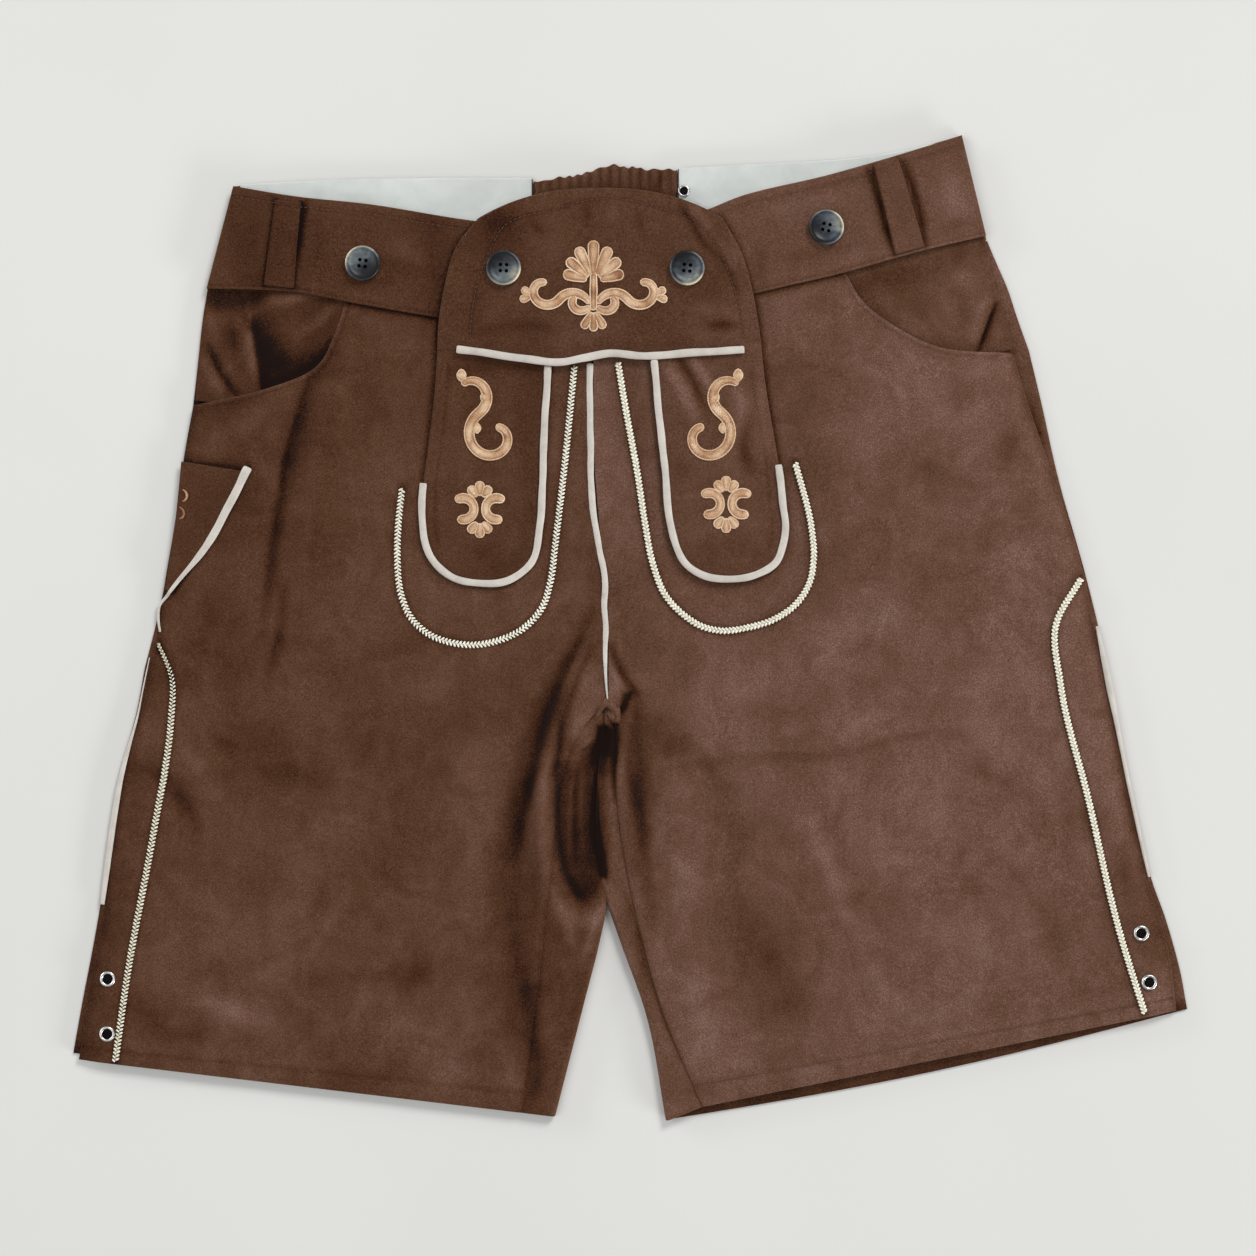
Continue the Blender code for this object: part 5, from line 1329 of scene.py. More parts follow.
# base tones partly the pile's stroke, partly painted light: the _l pocket painted brighter
cloth_piece("pocket_layer_r", tucked(POCKET_R_ROWS, 4.5, 0.4), FACING, MAT["suede"], 1.3, 66, 0.33, POCKET_MARKS_R, 0.3, 12,
            fold=[(7.0, 1.6, [(-240, 184), (-236, 165), (-224, 150)]), (9.0, 1.4, [(-206, 190), (-200, 172)])], sink=0.15)
cloth_piece("pocket_layer_l", tucked(POCKET_L_ROWS, 5.0, 5.2), FACING, MAT["suede"], 1.6, 62, 0.52, POCKET_MARKS_L, 0.3, 14, sink=0.15)

# tones: painted shade in troughs and light on ridges, the painted shadow beside the belt loop, and darker patches
BAND_MARKS_R = [
    (.3, -.04, 9, 12, .4, .3, [(340, 215), (400, 222), (450, 232)]),
    (-.3, -.10, 4, 4, .3, .3, [(330, 270), (380, 262), (440, 280)]),
    (.2, .07, 5, 5, .3, .3, [(238, 205), (250, 250)]),
    (-.2, -.14, 7, 7, .5, .5, [(322, 225), (318, 270)]),
    (-.3, -.14, 5, 5, .6, .6, [(345, 284), (385, 280)]),
    (.3, .08, 6, 6, .4, .4, [(395, 240), (420, 262), (432, 300)]),
    (0, -.18, 12, 12, .8, .8, [(240, 215), (246, 260)]),
    (0, -.16, 12, 12, .8, .8, [(432, 222), (436, 300)]),
    (0, -.16, 4, 4, .8, .8, [(240, 279), (290, 284)]),
    (-.4, -.50, 3.2, 1.4, .8, .3, [(303, 205), (300, 228), (296, 258)]),
]
# tones: painted shade in troughs and light on ridges, painted shadows on both sides of the belt loop, and lighter
# patches
BAND_MARKS_L = [
    (0, .12, 10, 10, .6, .6, [(900, 262), (972, 246)]),
    (0, .14, 10, 10, .6, .6, [(950, 170), (966, 238)]),
    (.3, .08, 5, 5, .3, .3, [(760, 215), (850, 196)]),
    (-.3, -.08, 4, 4, .3, .3, [(775, 262), (860, 245)]),
    (.3, .06, 4, 4, .3, .3, [(940, 190), (970, 215)]),
    (-.3, -.14, 5, 5, .5, .5, [(758, 245), (762, 285)]),
    (.3, .08, 5, 5, .3, .3, [(840, 262), (868, 250)]),
    (-.4, -.55, 1.2, 2.6, .9, .2, [(870, 172), (877, 196), (885, 226), (892, 252)]),
    (-.4, -.60, 2.8, 1.2, .5, .5, [(903, 164), (912, 188), (919, 214), (924, 244)]),
    (-.3, -.12, 5, 5, .4, .4, [(938, 232), (968, 222)]),
]


def band_line(rows, far):
    """A line that keeps its distance below a waistband's top edge."""
    t = Sections(PIECE_COLUMNS, rows, (("a_x", "a_y"), ("b_x", "b_y")))
    s = np.linspace(0, t.at[-1], 60)
    a = np.stack([t.value("a_x", s), t.value("a_y", s)], -1)
    b = np.stack([t.value("b_x", s), t.value("b_y", s)], -1)
    if far > 0:
        return a + unit(b - a) * far
    return b + unit(a - b) * (-far)


def loop_side(line, side, widths):
    p = even(smooth(line, 2.0), 1.5)
    t = unit(np.gradient(p, axis=0))
    w = np.interp(np.linspace(0, 1, len(p)), np.linspace(0, 1, len(widths)), widths)
    return p + np.stack([-t[:, 1], t[:, 0]], -1) * (side * w / 2)[:, None]


LOOP_WIDTHS = (15.4, 16.4, 18.2)
LOOP_SIDES = [loop_side(line, side, LOOP_WIDTHS) for line in (LOOP_R, LOOP_L) for side in (-1, 1)]
# base tones partly the pile's stroke, partly painted light, the _l band painted brighter; the grooves are painted
# darker as shade, and painted contact shadows lie beside the yoke and the belt loops
for k, rows, tone, mk in (("r", BAND_R_ROWS, 0.42, BAND_MARKS_R), ("l", BAND_L_ROWS, 0.62, BAND_MARKS_L)):
    top, foot = band_line(rows, 6.0), band_line(rows, -2.2)
    cloth_piece("front_waistband_" + k, rows, BAND, MAT["band"], 1.9, 34, tone, mk, 0.5, 21 if k == "r" else 25,
                grooves=[(top, 0.8, 0.20, 0.10, 3.0, .12), (foot, 0.8, 0.22, 0.10, 2.6, .16)],
                shades=outline(YOKE_ROWS, "ab", 0, False) + LOOP_SIDES)

# tones: painted shade in troughs and light on ridges, with darker patches on the left and a lighter one on the right
YOKE_MARKS = [
    (0, .12, 12, 9, .5, .5, [(738, 235), (744, 290), (740, 338)]),
    (0, -.07, 9, 8, .5, .5, [(458, 226), (452, 290), (452, 335)]),
    (0, -.09, 24, 24, .6, .6, [(500, 210), (510, 320)]),
    (.4, .08, 5, 5, .3, .3, [(470, 240), (520, 236), (560, 250)]),
    (-.8, -.26, 2, 3, .4, .4, [(680, 206), (692, 224), (704, 246)]),
    (.7, .16, 3, 3, .4, .4, [(688, 202), (701, 219), (712, 238)]),
    (-.5, -.16, 2, 3, .4, .4, [(700, 240), (722, 262), (738, 290)]),
    (-.5, -.16, 3, 3, .4, .3, [(586, 204), (588, 222)]),
    (-.5, -.16, 3, 3, .4, .3, [(638, 212), (641, 232)]),
    (.5, .12, 4, 4, .4, .3, [(611, 204), (614, 226)]),
    (-.4, -.14, 3, 3, .4, .3, [(532, 222), (545, 238)]),
    (-.5, -.16, 4, 4, .4, .4, [(470, 333), (520, 326), (560, 330)]),
    (-.6, -.26, 2.4, 3, .3, .3, [(706, 326), (722, 325), (738, 326)]),
    (.4, .10, 5, 5, .3, .3, [(690, 310), (720, 312), (744, 318)]),
    (-.3, -.10, 6, 6, .3, .3, [(466, 270), (478, 300), (474, 330)]),
    (-.3, -.10, 6, 6, .3, .3, [(738, 262), (742, 300)]),
    (.4, .08, 7, 7, .3, .3, [(500, 262), (520, 300)]),
    (.4, .12, 7, 7, .3, .3, [(690, 330), (712, 342), (740, 340)]),
    (0, -.30, 14, 14, .6, .6, [(480, 225), (520, 228)]),
    (0, -.08, 14, 14, .6, .6, [(640, 310), (660, 330)]),
]
ARCH = [P(*q) for q in ((470, 338), (474, 300), (488, 256), (508, 224), (520, 218), (548, 212), (589, 201), (615, 199),
                        (642, 204), (673, 213), (692, 219), (712, 240), (731, 280), (744, 338))]
ARCH = smooth(ARCH, 2.0)
WELT_LINE = smooth([P(*q) for q in ((457, 350), (492, 354.5), (530, 360), (563, 363), (584, 358.5), (609, 354), (647, 357), (688, 353.5),
                                    (744, 350.5))], 1.5)


def to_welt(p, s):
    """The yoke's lower edge follows the welt piping, which dips in the middle."""
    dy = np.interp(p[..., 0], WELT_LINE[:, 0], WELT_LINE[:, 1]) - p[0, :, 1][None, :]
    out = p.copy()
    out[..., 1] += dy * np.exp(-(s / 16.0) ** 2)[:, None]
    return out


# the arch's stitched groove is painted darker: painted shade
cloth_piece("flap_yoke", YOKE_ROWS, YOKE, MAT["bib"], 1.25, 150, 0.47, YOKE_MARKS, 0.65, 31, fullness=2.4, warp=to_welt,
            corners=[(-1.9, 0, 5, 5, 1, 1, [(440, 353), (450, 354)]), (-1.9, 0, 5, 5, 1, 1, [(750, 351), (760, 350)])],
            grooves=[(ARCH, 0.9, 0.30, 0.16, 3.2, .14)])
# tones: painted shade in troughs and light on ridges, and darker patches
BIB_MARKS_R = [
    (.4, .06, 7, 7, .3, .3, [(450, 380), (460, 440), (470, 500)]),
    (-.3, -.08, 5, 5, .3, .3, [(520, 400), (524, 470)]),
    (-.3, -.08, 6, 6, .3, .3, [(442, 470), (452, 540)]),
    (0, -.12, 10, 10, .5, .5, [(470, 556), (510, 562)]),
    (.3, .09, 6, 6, .5, .5, [(440, 470), (446, 520)]),
    (-.3, -.12, 5, 5, .5, .5, [(450, 372), (500, 366), (540, 372)]),
]
# tones: painted light on the pulled ridges, painted shade in their troughs, and darker patches
BIB_MARKS_L = [
    (1.1, .26, 4, 4, .3, .3, [(664, 362), (682, 392), (696, 424)]),
    (-1.1, -.32, 2.4, 3, .3, .3, [(674, 352), (692, 380), (706, 412)]),
    (.9, .24, 3.0, 3.4, .3, .3, [(690, 356), (706, 380), (716, 396)]),
    (-.8, -.28, 4, 4, .4, .4, [(746, 420), (742, 446), (752, 474)]),
    (.8, .24, 5, 5, .3, .3, [(735, 380), (742, 412), (734, 452)]),
    (.5, .12, 4, 4, .3, .3, [(758, 372), (762, 430), (768, 470)]),
    (0, -.12, 9, 9, .5, .5, [(700, 552), (745, 548)]),
    (0, -.12, 6, 6, .5, .5, [(672, 460), (690, 474)]),
]
# base tones partly the pile's stroke, partly painted light, the _l panel painted brighter; the inner stitched groove is
# painted darker as shade
for k, rows, tone, mk in (("r", BIB_R_ROWS, 0.42, BIB_MARKS_R), ("l", BIB_L_ROWS, 0.58, BIB_MARKS_L)):
    t = Sections(PIECE_COLUMNS, rows, (("a_x", "a_y"), ("b_x", "b_y")))
    s = np.linspace(8, t.at[-1] - 10, 50)
    a = np.stack([t.value("a_x", s), t.value("a_y", s)], -1)
    b = np.stack([t.value("b_x", s), t.value("b_y", s)], -1)
    inner = a + unit(b - a) * 7.5
    cloth_piece("flap_panel_" + k, tucked(rows, 9.0, 0.7 if k == "r" else -1.3), YOKE, MAT["bib"], 1.25, 58, tone, mk, 0.5, 33 if k == "r" else 37,
                fullness=BIB_FOOT, over=FRONTS, reach=5.0, grooves=[(inner, 0.8, 0.22, 0.10, 2.6, .10)])
cloth_piece("knife_pocket_cloth", KNIFE_ROWS, CLOTH, MAT["bib"], 1.3, 26, 0.40, (), 0.4, 39,
            over=FRONTS, reach=4.0, low=SEAM_Z + CLOTH / 2)
ON_BIB = ["flap_yoke", "flap_panel_r", "flap_panel_l"]
ON_BAND = ["front_waistband_r", "front_waistband_l"] + FRONTS + ["pocket_layer_r", "pocket_layer_l"]


# ---- trims laid over the cloth ------------------------------------------------------------------
def laid(line, step, names, reach, low, soften=3):
    """A line in plan with the height of what lies below it."""
    p = even(smooth(line, 2.0), step)
    z = top_at(names, p[:, 0], p[:, 1], reach, low)
    return p, blur_line(z, soften)


def piping(name, line, width, height, names, low=CLOTH, reach=None, widths=None):
    p, z = laid(line, 0.9, names, width * 0.5 if reach is None else reach, low)
    run = np.arange(len(p)) * 0.9
    rng = np.random.RandomState(len(name) * 7 + 3)
    t = unit(np.gradient(p, axis=0))
    wob = 0.14 * np.sin(run / 9.3 + rng.rand() * 6) + 0.08 * np.sin(run / 4.1 + rng.rand() * 6)
    p = p + np.stack([-t[:, 1], t[:, 0]], -1) * wob[:, None]
    pinch = 1 + 0.03 * np.sin(run / 3.1 + 1.3 * np.sin(run / 9.1)) + 0.03 * np.sin(run / 7.4 + 2)
    taper = np.clip(np.minimum(run, run[-1] - run) / 1.0 + 0.84, 0, 1)
    if widths is not None:
        taper = taper * np.interp(run / run[-1], np.linspace(0, 1, len(widths)), widths)
    path = np.concatenate([p, (z + GAP + height / 2)[:, None]], -1)
    v, f = sweep(path, oval(width, height, 14, 0.35), pinch * taper)
    make(name, v, f, MAT["piping"])
    return path


def bib_edge(rows, stop_y):
    table = Sections(PIECE_COLUMNS, rows, (("a_x", "a_y"), ("b_x", "b_y")))
    end = table.at[-1]
    val = lambda n, s: float(table.value(n, s))
    line = [(val("b_x", end * k / 5), val("b_y", end * k / 5)) for k in range(6)]
    line[0] = (line[0][0], float(np.interp(line[0][0], WELT_LINE[:, 0], WELT_LINE[:, 1])) - 2.3)
    a = np.array([table.v["a_x"][-1], table.v["a_y"][-1]])
    b = np.array([table.v["b_x"][-1], table.v["b_y"][-1]])
    for u in (0.22, 0.5, 0.78):
        p = b + (a - b) * u
        line.append((p[0], p[1] + table.v["bow"][-1] * (1 - abs(2 * u - 1) ** BIB_FOOT)))
    side = [(val("a_x", end - 12.0 * k), val("a_y", end - 12.0 * k)) for k in range(12)]
    return line + [p for p in side if p[1] < stop_y]


piping("piping_cord_welt", WELT_LINE, 4.6, 2.2, ON_BIB + FRONTS)
piping("piping_cord_bib_r", bib_edge(BIB_R_ROWS, 88.0), 4.3, 2.1, ON_BIB + FRONTS)
piping("piping_cord_bib_l", bib_edge(BIB_L_ROWS, 100.0), 4.3, 2.1, ON_BIB + FRONTS)
piping("piping_cord_centre", [P(*q) for q in ((590, 363.5), (590.4, 440), (594.4, 521), (600, 552), (603.6, 568), (605.4, 587), (604.2, 606),
                                              (605.6, 628), (605.2, 657), (606.4, 682), (607.5, 699))], 3.9, 1.9, FRONTS,
       widths=(1, 1, 1, 1, 1, .95, .95, .9, .9, .55, .2))
piping("piping_cord_knife", KNIFE_EDGE + [(-282.8, 13.0), (-283.4, 5.0), (-282.6, -2.4)], 5.0, 1.9,
       ["knife_pocket_cloth", "front_panel_r"], widths=(1.05, 1.0, .95, .85, .5, .34, .3))
SIDE_CORDS = {"r": (20.0, [.2, .3, .5, .9, 1.2, 1.25, 1.2, .9], 1.15), "l": (-4.0, [.5, 1.1, 1.35, 1.0, .75, .75, .7, .65, .5], 1.9)}
for k, leg in LEGS.items():
    start, thin, rise = SIDE_CORDS[k]
    s = np.linspace(leg.s.at[8] + start, leg.s.at[13] - 2.0, 9)
    line = leg.point("front_out", s) * 0.42 + leg.point("back_out", s) * 0.58
    p = even(smooth(line, 2.0), 0.9)
    path = np.concatenate([p, np.full((len(p), 1), CLOTH + GAP + rise)], -1)
    run = np.arange(len(p)) * 0.9
    v, f = sweep(path, oval(2.9, 1.7, 12), np.interp(run / run[-1], np.linspace(0, 1, len(thin)), thin))
    make("piping_cord_side_" + k, v, f, MAT["piping"])


# the gathered cloth under the piping's tip, where the four leg seams meet: it laps over both inner edges
def spread(points, n):
    p = even(smooth([P(*q) for q in points], 1.0), 0.3)
    k = np.linspace(0, len(p) - 1, n + 1)
    return np.stack([np.interp(k, np.arange(len(p)), p[:, i]) for i in (0, 1)], -1)


def gather():
    left = spread(((606.2, 694), (600, 704), (592.5, 716), (586, 729), (580, 742)), 44)
    right = spread(((609, 694), (614, 699.5), (619, 706), (621, 714), (620, 724)), 44)
    foot = spread(((580, 742), (585.5, 739), (590.5, 731.5), (596.5, 724.8), (603, 720.2), (609, 720.6), (614, 723), (620, 724)), 36)
    t, u = np.linspace(0, 1, 45)[:, None], np.linspace(0, 1, 37)[None, :]
    chord = left[-1] * (1 - u[..., None]) + right[-1] * u[..., None]
    p = left[:, None] * (1 - u[..., None]) + right[:, None] * u[..., None] + (foot[None] - chord) * t[..., None] ** 1.2
    x, y = p[..., 0], p[..., 1]
    z = blur(top_at(FRONTS, x, y, 3.0, CLOTH), 8)
    e = np.clip(np.minimum(np.minimum(u, 1 - u) * 4.2, t * 4.5), 0, 1)
    e = e * e * (3 - 2 * e)
    lip = np.clip((t - 0.84) / 0.16, 0, 1)
    h, shade = marks(GATHER_FOLDS, x, y)
    z = z - 1.0 + 1.45 * e + h * e - 0.3 * lip ** 2
    # painted light and shade along the gathers' folds, and painted shade under the lip at the foot
    tone = 0.64 + shade - 0.34 * lip ** 2 + 0 * u
    mid, tone = up_wards(np.concatenate([p, z[..., None]], -1), tone)
    shell("crotch_gather", mid, 0.9, MAT["suede"], tone)


GATHER_FOLDS = [
    (-.35, -.42, 1.0, 1.1, .6, .6, [(602.5, 711), (605.6, 708.6), (609, 708.8), (612, 711.6)]),
    (.35, .26, 1.5, 1.5, .5, .5, [(599.5, 716.5), (604.5, 713), (610, 714.4), (613, 718)]),
    (.3, .12, 1.0, 1.0, .5, .5, [(614.6, 709.5), (617.4, 714.5), (618, 720)]),
    (-.3, -.22, .7, .7, .5, .5, [(613.6, 709), (615.4, 714), (615.6, 720)]),
    (.2, .08, 2.0, 2.0, .5, .5, [(604, 698), (602, 706)]),
    (-.2, -.10, 1.4, 1.4, .5, .5, [(598, 712), (591, 724), (585, 736)]),
]
gather()


def pill(bag, a, b, r, flat=0.75, value=0.0, sides=8, up=(0, 0, 1)):
    """A short thread: a capsule from a to b, pressed a little flat."""
    a, b = np.asarray(a, float), np.asarray(b, float)
    d = b - a
    L = np.linalg.norm(d)
    d = d / max(L, 1e-9)
    s = np.cross(d, up)
    s = s / np.linalg.norm(s)
    n = np.cross(s, d)
    stops = [(-1.0, 0.35), (-0.8, 0.72), (-0.35, 0.98), (0.35, 0.98), (0.8, 0.72), (1.0, 0.35)]
    c = (a + b) / 2
    ang = -np.arange(sides) * 2 * math.pi / sides
    ring = np.cos(ang)[:, None] * s + np.sin(ang)[:, None] * n * flat
    v = np.concatenate([c + d * (t * (L / 2 + r * 0.2)) + ring * (r * q) for t, q in stops])
    k = sides
    f = []
    for i in range(len(stops) - 1):
        for j in range(k):
            f.append((i * k + j, i * k + (j + 1) % k, (i + 1) * k + (j + 1) % k, (i + 1) * k + j))
    f.append(tuple(range(k))[::-1])
    f.append(tuple((len(stops) - 1) * k + j for j in range(k)))
    bag.put(v, f, value)


def braid(name, line, names, seed, fine=None, tone_shift=0.0):
    """Chain-stitched braid: two rows of slanted loops, laid close over a flat core."""
    p, z = laid(line, 1.12, names, 2.0, SEAM_Z + CLOTH / 2, 5)
    t = unit(np.gradient(p, axis=0))
    n = np.stack([-t[:, 1], t[:, 0]], -1)
    rng = np.random.RandomState(seed)
    bag = Bag()
    k = np.linspace(0, 1, len(p))
    size = np.ones(len(p)) if fine is None else np.interp(k, np.linspace(0, 1, len(fine)), fine)
    path = np.concatenate([p, (z + GAP + 0.50)[:, None]], -1)
    v, f = sweep(path[::2], oval(3.0, 1.1, 8), size[::2])
    # the flat core between the loops is painted darker: painted shade between the stitches
    bag.put(v, f, tone_shift - 0.46)
    for k in range(1, len(p) - 1):
        side = 1 if k % 2 else -1
        jig = rng.rand(4) - 0.5
        g = size[k]
        mid = p[k] + n[k] * side * (1.02 + 0.12 * jig[0]) * g + t[k] * 0.2 * jig[1]
        lean = (t[k] * (0.62 + 0.14 * jig[3]) - n[k] * side * 0.84) * g
        zz = z[k] + GAP + 0.95
        a, b = mid - lean, mid + lean
        pill(bag, (a[0], a[1], zz - 0.16), (b[0], b[1], zz + 0.26), (0.62 + 0.06 * jig[2]) * g, 0.95, tone_shift + 0.20 * jig[0], 7)
    v, f, tone = bag.arrays()
    return make(name, v, f, MAT["braid"], tone)


braid("braid_cord_bib_r", [(-33.5, 157.4)] + BRAID_BIB_R[1:], FRONTS, 1)
braid("braid_cord_bib_l", [(-7.4, 159.2)] + BRAID_BIB_L[1:], FRONTS, 2)
braid("braid_cord_side_r", BRAID_SIDE_R, FRONTS, 3, (.55, .7, .95) + (1,) * 12, -0.26)
braid("braid_cord_side_l", BRAID_SIDE_L, FRONTS, 4)


def belt_loop(name, line, tone, seed):
    p = even(smooth(line, 2.0), 0.9)
    t = unit(np.gradient(p, axis=0))
    n = np.stack([-t[:, 1], t[:, 0]], -1)
    cols = 20
    u = np.linspace(-1, 1, cols + 1)
    k = np.linspace(0, 1, len(p))
    w = np.interp(k, np.linspace(0, 1, len(LOOP_WIDTHS)), LOOP_WIDTHS)
    q = p[:, None, :] + n[:, None, :] * (u / 2)[None, :, None] * w[:, None, None]
    z = top_at(ON_BAND, q[..., 0], q[..., 1], 2.5, CLOTH)
    z = blur_line(z.max(axis=1), 6)[:, None] + GAP + 0.12 + LOOP_H / 2 + 1.2 * np.sin(math.pi * k)[:, None]
    z = np.broadcast_to(z, q.shape[:2]).copy()
    run = k[:, None] * length_of(p)
    z += 0.22 * np.exp(-((np.abs(u[None, :]) - 0.86) / 0.12) ** 2) - 0.5 * np.abs(u[None, :]) ** 6
    z += 0.25 * cloud(q[..., 0], q[..., 1], 9, seed) * np.sin(math.pi * np.clip(k, 0, 1))[:, None]
    z -= 0.3 * np.exp(-((run - 3.4) / 1.0) ** 2) + 0.3 * np.exp(-((run - length_of(p) + 3.4) / 1.0) ** 2)
    # painted shade along the loop's side edges, with an uneven tone over it
    shade = tone - 0.10 * np.exp(-((np.abs(u[None, :]) - 1.0) / 0.10) ** 2) + 0.10 * cloud(q[..., 0], q[..., 1], 11, seed + 5)
    mid, shade = up_wards(np.concatenate([q, z[..., None]], -1), shade)
    shell(name, mid, LOOP_H, MAT["band"], shade)


STITCHED = []
# base tones partly the pile's stroke, partly painted light: the _l loop painted brighter
belt_loop("loop_strip_r", LOOP_R, 0.32, 51)
belt_loop("loop_strip_l", LOOP_L, 0.54, 53)


# ---- stitches: brown thread lying in its grooves ---------------------------------------------------
def offset_line(line, far):
    p = even(np.asarray(line, float), 1.5)
    t = unit(np.gradient(p, axis=0))
    return p + np.stack([-t[:, 1], t[:, 0]], -1) * far


for k, leg in LEGS.items():
    sign = 1 if k == "r" else -1
    STITCHED.append((offset_line(leg.scoop_line, 3.0 * sign * -1), ["front_panel_" + k], 3.0))
    at = leg.s.at[-1] - 10.4
    a, b = leg.point("front_out", np.array([at]))[0], leg.point("front_in", np.array([at]))[0]
    STITCHED.append((np.stack([a + (b - a) * q for q in np.linspace(0.006, 0.994, 120)]), ["front_panel_" + k], 3.4))
for k, rows in (("r", BAND_R_ROWS), ("l", BAND_L_ROWS)):
    top = band_line(rows, 6.0)
    STITCHED.append((top[1:-1], ["front_waistband_" + k], 3.2))
STITCHED.append((ARCH, ["flap_yoke"], 3.0))


def stitch_rows():
    bag = Bag()
    rng = np.random.RandomState(77)
    for line, names, pitch in STITCHED:
        p = even(line, pitch / 2)
        z = top_at(names, p[:, 0], p[:, 1], 0.0, -9.0)
        for k in range(0, len(p) - 1, 2):
            if z[k] < 0 or z[k + 1] < 0:
                continue
            j = (rng.rand(2) - 0.5) * 0.24
            d = (p[k + 1] - p[k]) * 0.42
            a, b = p[k] - d * 0.45 + j, p[k + 1] + d * 0.45 + j
            pill(bag, (a[0], a[1], z[k] + 0.02), (b[0], b[1], z[k + 1] + 0.02), 0.26, 0.9, 0.0, 6)
    v, f, _ = bag.arrays()
    make("topstitch_thread", v, f, MAT["thread"])


stitch_rows()


# ---- embroidery: padded satin scrolls with a corded edge ---------------------------------------------
FILL, EDGE = Bag(), Bag()
FILL_UV = []


def stroke(points, widths, names, tone=0.5, height=1.25, edge=True, seed=0):
    """One satin-stitched stroke: a low dome over a smooth line, and a twisted cord along both sides."""
    p = even(smooth(points, 0.6), 0.5)
    n_p = len(p)
    k = np.linspace(0, 1, n_p)
    w = np.interp(k, np.linspace(0, 1, len(widths)), widths)
    run = k * length_of(p)
    for far, end in ((run, widths[0]), (run[-1] - run, widths[-1])):
        if end > 1.9:
            u = np.clip(far / (end / 2), 0, 1)
            w = w * np.sqrt(np.maximum(1 - (1 - u) ** 2, 0.10))
    t = unit(np.gradient(p, axis=0))
    n = np.stack([-t[:, 1], t[:, 0]], -1)
    z = blur_line(top_at(names, p[:, 0], p[:, 1], 0.0, 4.0), 3)
    cols = 7
    u = np.linspace(-1, 1, cols)
    q = p[:, None, :] + n[:, None, :] * (u * 1.0)[None, :, None] * (w / 2)[:, None, None]
    zz = z[:, None] + 0.05 + height * np.sqrt(np.maximum(0.0, 1 - 0.86 * u[None, :] ** 2)) * np.minimum(1, w / 2.6)[:, None]
    top = np.concatenate([q, zz[..., None]], -1)
    low = top.copy()
    low[..., 2] = z[:, None] - 0.5
    a = np.arange(n_p * cols).reshape(n_p, cols)
    v = np.concatenate([top.reshape(-1, 3), low[:, [0, -1], :].reshape(-1, 3)])
    b0 = n_p * cols + 2 * np.arange(n_p)
    f = np.stack([a[:-1, :-1], a[1:, :-1], a[1:, 1:], a[:-1, 1:]], -1).reshape(-1, 4).tolist()
    f += np.stack([a[:-1, -1], a[1:, -1], b0[1:] + 1, b0[:-1] + 1], -1).tolist()
    f += np.stack([a[1:, 0], a[:-1, 0], b0[:-1], b0[1:]], -1).tolist()
    f += np.stack([b0[:-1] + 1, b0[1:] + 1, b0[1:], b0[:-1]], -1).tolist()
    f.append(tuple(int(i) for i in a[0]) + (int(b0[0] + 1), int(b0[0])))
    f.append(tuple(int(i) for i in a[-1][::-1]) + (int(b0[-1]), int(b0[-1] + 1)))
    flip = np.cross(top[1, 0] - top[0, 0], top[0, -1] - top[0, 0])[2] < 0
    if flip:
        f = [tuple(q)[::-1] for q in f]
    run = k * length_of(p)
    slant = run[:, None] + 0.35 * u[None, :] * (w / 2)[:, None]
    uv = np.stack([np.broadcast_to(u[None, :] * (w / 2)[:, None], slant.shape), slant], -1).reshape(-1, 2)
    uv = np.concatenate([uv, np.repeat(np.stack([run * 0, run], -1), 2, axis=0)])
    # painted light on the dome's crown, painted shade towards its edges and down its sides
    painted_dome_light = np.broadcast_to(0.13 - 0.30 * np.abs(u[None, :]) ** 2.2, q.shape[:2]).reshape(-1)
    along = np.repeat(0.07 * np.sin(run / 2.6 + seed), cols)
    FILL.put(v, f, np.concatenate([tone + painted_dome_light + along, np.full(2 * n_p, tone - 0.3)]))
    FILL_UV.append(uv)
    if edge:
        m = n_p
        loop = np.concatenate([q[:, 0, :] - n * 0.12, q[::-1, -1, :] + n[::-1] * 0.12])
        lz = np.concatenate([z, z[::-1]])
        cord = even(np.concatenate([loop, lz[:, None]], -1), 0.5)
        ring = np.concatenate([cord, cord[:1]])
        ring = even(ring, 0.5)
        ring[:, 2] += 0.42
        s = np.arange(len(ring))
        beads = 1 + 0.16 * np.sin(s * math.pi / 1.6)
        vv, ff = sweep(ring, oval(0.95, 0.95, 6), beads)
        EDGE.put(vv, ff, 0.62 + 0.1 * math.sin(seed * 1.7))


def drop(x, y, r, names, tone=0.5):
    """A small padded ball of stitches."""
    stroke([(x - r * 0.8, y - 0.1), (x, y + 0.1), (x + r * 0.8, y)], [r * 1.5, r * 2.2, r * 1.5], names, tone, 1.3)


# Every motif is constructed: fans of like petals, and volutes whose radius shrinks evenly as they turn.
def volute(x, y, heading, turn, r0, r1, n=14):
    """A curl that starts at (x, y) going heading degrees and turns by turn degrees, its radius from r0 to r1."""
    out, a = [(x, y)], math.radians(heading)
    step = math.radians(turn) / n
    for k in range(n):
        r = r0 + (r1 - r0) * (k + 0.5) / n
        a += step / 2
        x, y = x + r * abs(step) * math.cos(a), y + r * abs(step) * math.sin(a)
        a += step / 2
        out.append((x, y))
    return out, math.degrees(a)


def petal(cx, cy, angle, near_r, far_r, wide, names, tone, seed):
    """One padded petal of a fan, widest towards its tip."""
    c, q = math.cos(math.radians(angle)), math.sin(math.radians(angle))
    line = [(cx + r * c, cy + r * q) for r in (near_r, near_r * 0.35 + far_r * 0.65, far_r)]
    stroke(line, [wide * 0.42, wide * 0.86, wide], names, tone, 1.3, seed=seed)


